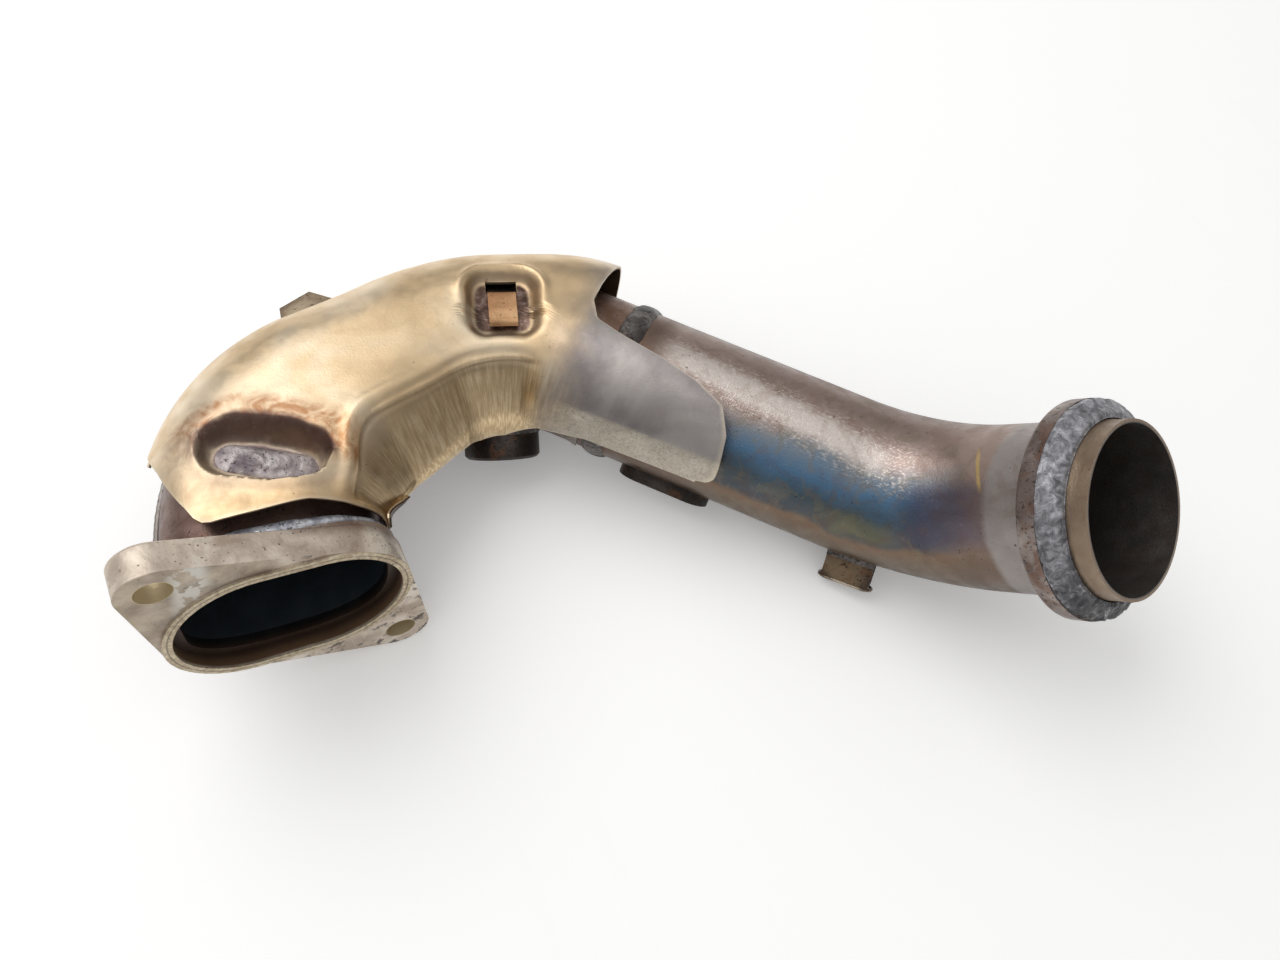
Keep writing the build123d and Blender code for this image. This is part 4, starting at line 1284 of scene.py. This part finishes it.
@dataclass
class HeatShield(Piece):
    """Pressed sheet over the elbow."""

    crown: float = 33.0
    outer_round: float = 29.0
    inner_round: float = 27.0
    sheet: float = 1.0
    front: float = 21.0
    mouth: float = 172.4
    tip: float = 233.5
    corner: float = 6.0
    front_at: float = FRONT_POCKET
    front_middle: float = -1.5
    front_half: tuple[float, float] = (10.0, 6.5)
    front_bed: float = 25.06
    rear_at: float = REAR_POCKET
    rear_middle: float = -5.5
    rear_half: tuple[float, float] = (6.0, 5.2)
    rear_round: float = 4.0
    rear_bed: float = 28.8
    slot_side: float = 2.5
    slot_half: tuple[float, float] = (2.5, 5.2)
    nose_dip: float = 2.6
    groove_angle: float = 44.0
    groove_climb: float = 19.0
    groove_depth: float = 1.6
    panel_share: float = 0.75
    hem_in: float = 7.4
    hem_drop: float = 5.0
    rows: int = 270

    def walls(self, s: Array) -> tuple[Array, Array]:
        """Distances of the outer and inner wall from the gas path."""
        half, _ = DUCT.half(s)
        outer = 5 - 2 * ease(s, self.front_at, 105.2) + 6 * ease(s, self.rear_at, self.mouth)
        inner = 1.5 + 3.5 * ease(s, 14.0, 46.6) - 1.4 * ease(s, self.mouth, self.tip)
        return half + outer + self.sheet, half + inner + self.sheet

    @staticmethod
    def skirt_edge(s: Array) -> Array:
        """Height of the inner skirt's edge."""
        return np.interp(s, [13, 21, 79, 119, 142, 188, 234], [12, 12, 2, -7, -7, 5, 5])

    @staticmethod
    def front_edge(out: Array) -> Array:
        """Distance of the front edge along the path."""
        places = [-50, -32, -14, 0, 13, 15.5, 17.5, 19.5, 29, 40, 50]
        return np.interp(out, places, [12, 16.6, 20.4, 19.6, 19.2, 19.8, 21.6, 24.5, 35, 44.5, 53])

    def rear_edge(self, out: Array) -> Array:
        """Distance of the mouth's and the tongue's edge along the path."""
        places = [-50, -30, -24, -17, -13, -10, -7.5, -5, 2, 10, 60]
        stops = [self.tip, self.tip, 232, 227, 217, 203, 187, 177.4, 173, self.mouth, self.mouth]
        return np.interp(out, places, stops)

    def section(self, s: Array, share: Array) -> FourArrays:
        """Plain section of the sheet.

        Args:
            s: distances along the path.
            share: 0 at the outer edge, 1, 2 and 3 at the ends of the outer arc, crown and inner arc,
                and 4 at the skirt's edge.

        Returns:
            Offset beside the path, height, and the section's normal in these two directions.
        """
        outer, inner = self.walls(s)
        first = np.clip(share, 0, 1) * math.pi / 2
        third = np.clip(share - 2, 0, 1) * math.pi / 2
        flat = np.clip(share - 1, 0, 1)
        left = outer - self.outer_round
        right = -(inner - self.inner_round)
        out = np.where(share < 1, left + self.outer_round * np.cos(first), left + (right - left) * flat)
        out = np.where(share > 2, right - self.inner_round * np.sin(third), out)
        low = self.crown - self.inner_round
        rise = np.where(share < 1, self.crown - self.outer_round * (1 - np.sin(first)), self.crown)
        rise = np.where(share > 2, low + self.inner_round * np.cos(third), rise)
        rise = np.where(share > 3, low + (self.skirt_edge(s) - low) * np.clip(share - 3, 0, 1), rise)
        side = np.where(share < 1, np.cos(first), -np.sin(third))
        lift = np.where(share < 1, np.sin(first), np.cos(third))
        return out, rise, side, lift

    def pockets(self, s: Array, out: Array) -> tuple[Array, Array]:
        """Signed distances from the floors of the front and the rear pocket.

        Args:
            s: distances along the path.
            out: offsets beside the path.

        Returns:
            Distances for the front and for the rear pocket, below zero on the floor.
        """
        spread = 1 + out / PATH.elbow_radius
        reach = np.maximum(np.abs(out - self.front_middle) - self.front_half[0], 0)
        front = np.hypot(reach, (s - self.front_at) * spread) - self.front_half[1]
        front = front + 2.2 * ease(out, -4.0, -14.0)
        x = np.abs(out - self.rear_middle) - self.rear_half[0]
        y = np.abs((s - self.rear_at) * spread) - self.rear_half[1]
        rear = np.hypot(np.maximum(x, 0), np.maximum(y, 0)) + np.minimum(np.maximum(x, y), 0)
        return front, rear - self.rear_round

    def lay_out(self) -> tuple[Array, Array, Array]:
        """Grid of the sheet, fitted between its front and rear edges.

        Returns:
            Share of the way back, share across the section and distance along the path.
        """
        columns = [np.linspace(k, k + 1, count)[:-1] for k, count in enumerate((44, 20, 46))]
        columns = np.concatenate([*columns, np.linspace(3, 4, 14)])
        down, share = np.meshgrid(np.linspace(0, 1, self.rows), columns, indexing="ij")
        s = self.front + down * (self.mouth - self.front)
        for _ in range(12):
            out, _, _, _ = self.section(s, share)
            first = self.front_edge(out[:1])
            left = np.clip((3 - share[-1:]) * self.inner_round * math.pi / 2, 0, self.corner)
            round_off = self.corner - np.sqrt(self.corner ** 2 - (self.corner - left) ** 2)
            last = self.rear_edge(out[-1:]) - round_off
            s = 0.5 * s + 0.5 * (first + down * (last - first))
        return down, share, s

    def sink(self, s: Array, share: Array, out: Array, front: Array, rear: Array) -> Array:
        """How far the pockets and the nose lower the sheet, less the bead round the rear pocket.

        Args:
            s: distances along the path.
            share: shares across the section.
            out: offsets beside the path.
            front: distances from the front pocket's floor.
            rear: distances from the rear pocket's floor.

        Returns:
            Drops of the sheet.
        """
        bed = self.front_bed + math.tan(math.radians(DUCT.roll(self.front_at))) * out
        slack = 5.0 + 1.4 * np.tanh((s - self.front_at) / 9.0)
        drop = (self.crown - bed) * ease(front, slack, -0.6)
        drop = drop + (self.crown - self.rear_bed) * ease(rear, 4.6, -0.4)
        nose = self.nose_dip * ease(s, 48.0, 22.0) * ease(share, 0.1, 0.6) * ease(share, 3.0, 2.4)
        bead = 1.2 * np.exp(-((rear - 5.2) / 1.6) ** 2) * ease(out, -8.0, 8.0)
        return np.maximum(np.where(share < 2.7, drop, 0), nose) - bead

    def crease(self, s: Array, share: Array) -> tuple[Array, Array]:
        """Groove above the inner skirt and the flat panel below it.

        Args:
            s: distances along the path.
            share: shares across the section.

        Returns:
            Share of the groove's full depth, and depth of the panel.
        """
        at = self.groove_angle - self.groove_climb * np.exp(-((s - 70.0) / 28.0) ** 2)
        bent = np.clip(share - 2, 0, 1) * 90 - at
        arc = np.radians(bent) * self.inner_round
        live = ease(s, 17, 30) * ease(s, 168, 150) * (share > 2)
        step = ease(arc, -1.0, 4.0) * ease(share, 3.6, 2.9)
        ridge = np.exp(-((arc + 4.2) / 2.2) ** 2)
        dent = live * (0.9 * np.exp(-((arc - 0.8) / 1.5) ** 2) + 0.75 * step - 0.7 * ridge)
        chord = self.inner_round * (1 - np.cos(np.radians(45 - at / 2)))
        flat = np.sin(math.pi * np.clip(bent / (90 - at), 0, 1))
        return dent, self.panel_share * live * chord * flat

    def build(self) -> MeshObject:
        """Sheet with pockets, groove and slot, one millimetre thick."""
        down, share, s = self.lay_out()
        out, rise, side, lift = self.section(s, share)
        front, rear = self.pockets(s, out)
        rise = rise - self.sink(s, share, out, front, rear)
        dent, panel = self.crease(s, share)
        inward = self.groove_depth * dent + panel
        hem = ease(s, 146.0, 168.0) * ease(share, 0.5, 0.0)
        curl = 1.6 * ease(share, 0.12, 0.0) * ease(s, 160.0, 146.0) - self.hem_in * hem
        points = self.plan(s, out - side * inward + curl, rise - lift * inward - self.hem_drop * hem)
        edge = np.minimum(down, 1 - down) * (self.mouth - self.front)
        edge = np.minimum(edge, np.minimum(share * 45, (4 - share) * 8))
        across = np.interp(share, [0, 1, 2, 4], [0, 45.5, 65.5, 149.5])
        marks = {"press": np.stack([across, s, edge], -1) / MARK_UNIT,
                 "pocket": np.stack([front, rear, np.clip(dent, 0, 1)], -1) / MARK_UNIT}
        made = Shape.grid(self.name, points, False, False, marks)
        self.thicken(made)
        self.cut_slot(made)
        Shape.finish(made, 50.0)
        return made

    @staticmethod
    def plan(s: Array, out: Array, rise: Array) -> Array:
        """Points beside the path with heights above the bend plane."""
        point, side, _, _ = PATH.frames(s)
        spots = point + side * out[..., None]
        spots[..., 2] += rise
        return spots

    def thicken(self, made: MeshObject) -> None:
        """Give the sheet its thickness downwards and mark its underside."""
        mesh = made.data
        if np.mean([face.normal.z for face in mesh.polygons]) < 0:
            mesh.flip_normals()
        count = len(mesh.vertices)
        solid = made.modifiers.new("sheet", "SOLIDIFY")
        solid.thickness = self.sheet / 1000
        solid.offset = -1.0
        Shape.apply(made)
        below = np.zeros(len(made.data.vertices), np.float32)
        below[count:] = 1.0
        made.data.attributes.new("inside", "FLOAT", "POINT").data.foreach_set("value", below)

    def cut_slot(self, made: MeshObject) -> None:
        """Slot through the rear pocket's floor."""
        point, side, up, head = PATH.frames(np.array(self.rear_at))
        middle = point + side * self.slot_side + up * (self.rear_bed - 0.5)
        wide, long = side * self.slot_half[0], head * self.slot_half[1]
        ring = np.array([middle + wide * x + long * y for x, y in CORNERS])
        block = Shape.grid("slot_block", np.stack([ring - 4 * up, ring + 4 * up]), False, True)
        Shape.cap(block)
        Shape.finish(block)
        Shape.cut(made, block)


class Studio:
    """Camera, light and floor."""

    PLACE = (0.038141, -0.129249, 0.299622)
    RIGHT = (0.90071, -0.43224, 0.04354)
    DOWN = (-0.37171, -0.81866, -0.43776)
    AHEAD = (0.22486, 0.37811, -0.89804)
    LENS = 29.25
    SENSOR = 36.0
    SKY_STRENGTH = 0.74
    LAMP_POWER = 5.6
    LAMP_SIZE = 1.1
    LAMP_TARGET = (0.1, 0.0, 0.0)
    LAMP_AWAY = (-0.28, 0.55, 0.95)
    TABLE_HALF = 4.0

    @classmethod
    def camera(cls) -> None:
        """Camera of the photograph."""
        data = bpy.data.cameras.new("camera")
        data.sensor_width = cls.SENSOR
        data.sensor_fit = "HORIZONTAL"
        data.lens = cls.LENS
        data.clip_start = 0.01
        made = bpy.data.objects.new("camera", data)
        columns = [cls.RIGHT, [-v for v in cls.DOWN], [-v for v in cls.AHEAD]]
        turn = Matrix([[columns[c][r] for c in range(3)] for r in range(3)]).to_4x4()
        made.matrix_world = Matrix.Translation(cls.PLACE) @ turn
        bpy.context.scene.collection.objects.link(made)
        bpy.context.scene.camera = made

    @classmethod
    def light(cls) -> None:
        """Bright sky that fades to a grey horizon, and one large soft lamp from behind and above."""
        world = bpy.data.worlds.new("studio")
        bpy.context.scene.world = world
        world.use_nodes = True
        world.node_tree.nodes.clear()
        graph = Graph(world.node_tree)
        height = graph.apart(graph.add("TexCoord").outputs["Generated"])[2]
        sky = graph.tones(height, (0.0, 150, 150, 150), (0.35, 176, 176, 176), (0.8, 250, 250, 250))
        back = graph.add("Background", {0: sky, 1: cls.SKY_STRENGTH})
        graph.add("OutputWorld", {0: back.outputs[0]})
        data = bpy.data.lights.new("soft_lamp", "AREA")
        data.shape = "DISK"
        data.size = cls.LAMP_SIZE
        data.energy = cls.LAMP_POWER
        lamp = bpy.data.objects.new("soft_lamp", data)
        target = Vector(cls.LAMP_TARGET)
        lamp.location = target + Vector(cls.LAMP_AWAY)
        lamp.rotation_euler = (target - lamp.location).to_track_quat("-Z", "Y").to_euler()
        bpy.context.scene.collection.objects.link(lamp)

    @classmethod
    def floor(cls, low: float) -> None:
        """Wide pale table top under the object."""
        mesh = bpy.data.meshes.new("table_top")
        corners = [(x * cls.TABLE_HALF, y * cls.TABLE_HALF, low) for x, y in CORNERS]
        mesh.from_pydata(corners, [], [(0, 1, 2, 3)])
        mesh.materials.append(Paint.floor())
        made = bpy.data.objects.new("table_top", mesh)
        bpy.context.scene.collection.objects.link(made)
        made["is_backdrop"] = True


class Header:
    """The whole dressed part."""

    KEPT = {
        "elbow_inner_seam_weld": Finishes.SEAM, "outlet_collar": Finishes.COLLAR,
        "rear_lug": Finishes.LUG, "sensor_boss": Finishes.BOSS, "sensor_boss_weld": Finishes.RING,
        "tube_pad": Finishes.BOSS, "clip_bracket": Finishes.BRACKET, "clip_weld": Finishes.RING,
        "spring_clip": Finishes.SPRING,
    }

    def __init__(self, nodes: dict[str, MeshObject]) -> None:
        """Keep the CAD nodes."""
        self.nodes = nodes
        self.paints: dict[str, Material] = {}

    def paint(self, finish: Steel) -> Material:
        """Plain steel material of a finish, made once."""
        if finish.name not in self.paints:
            self.paints[finish.name] = Paint.steel(finish)
        return self.paints[finish.name]

    def keep(self) -> None:
        """Better materials for the CAD nodes that stay."""
        for name, finish in self.KEPT.items():
            self.coat(name, self.paint(finish))
        self.coat("port_flange", Paint.flange(Finishes.FLANGE, POSE, FlangeFace()))

    def coat(self, name: str, material: Material) -> None:
        """Put a material on every slot of a CAD node."""
        for slot in self.nodes[name].material_slots:
            slot.link = "OBJECT"
            slot.material = material
        LOG.info("%s: CAD shape kept", name)

    def build(self) -> None:
        """All new pieces, each with its material."""
        halves = ("elbow_upper_half", "elbow_lower_half")
        pieces = [
            (DuctShell("main_tube_fine", ("main_tube",), Slot.TUBE, JOIN, PATH.end(), columns=132,
                       step_at=367.4), Paint.tube(Finishes.TUBE)),
            (DuctShell("elbow_fine", halves, Slot.ELBOW, 8.5, JOIN, 1.6, hole=(141.0, 40.0, 8.2)),
             Paint.elbow(Finishes.ELBOW)),
            (SeamBand("outer_seam_fine", ("elbow_outer_seam_weld",), Slot.SEAM),
             self.paint(Finishes.SEAM)),
            (RingBead("flange_bead_fine", ("flange_weld",), Slot.WELD, 15.9, 2.8, 2.4, 90, 0.09),
             self.paint(Finishes.WELD)),
            (RingBead("tube_bead_fine", ("tube_weld",), Slot.WELD, JOIN, 4.0, 1.4, 70, 0.12),
             self.paint(Finishes.RING)),
            (RingGasket("gasket_fine", ("outlet_gasket",), Slot.GASKET), Paint.gasket(Finishes.GASKET)),
            (PlugWeld("plug_fine", ("shield_plug_weld",), Slot.PLUG), self.paint(Finishes.PLUG)),
            (BentStrip("strip_fine", ("shield_strip",), Slot.STRIP), self.paint(Finishes.STRIP)),
            (HeatShield("heat_shield_fine", ("heat_shield",), Slot.SHIELD),
             Paint.shield(Finishes.SHIELD)),
        ]
        for piece, material in pieces:
            piece.dress(piece.build(), material)


def clear() -> None:
    """Remove the start-up objects."""
    for item in list(bpy.data.objects):
        bpy.data.objects.remove(item)


def main() -> None:
    """Load the frame, dress it, light it, and lay the floor under its lowest point."""
    logging.basicConfig(level=logging.INFO)
    clear()
    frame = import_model()
    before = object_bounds()
    bpy.context.scene.view_settings.view_transform = "Standard"
    Effects.make()
    header = Header(frame["nodes"])
    header.keep()
    header.build()
    Studio.floor(float(before[0][2]))
    Studio.light()
    Studio.camera()


if __name__ == "__main__":
    main()
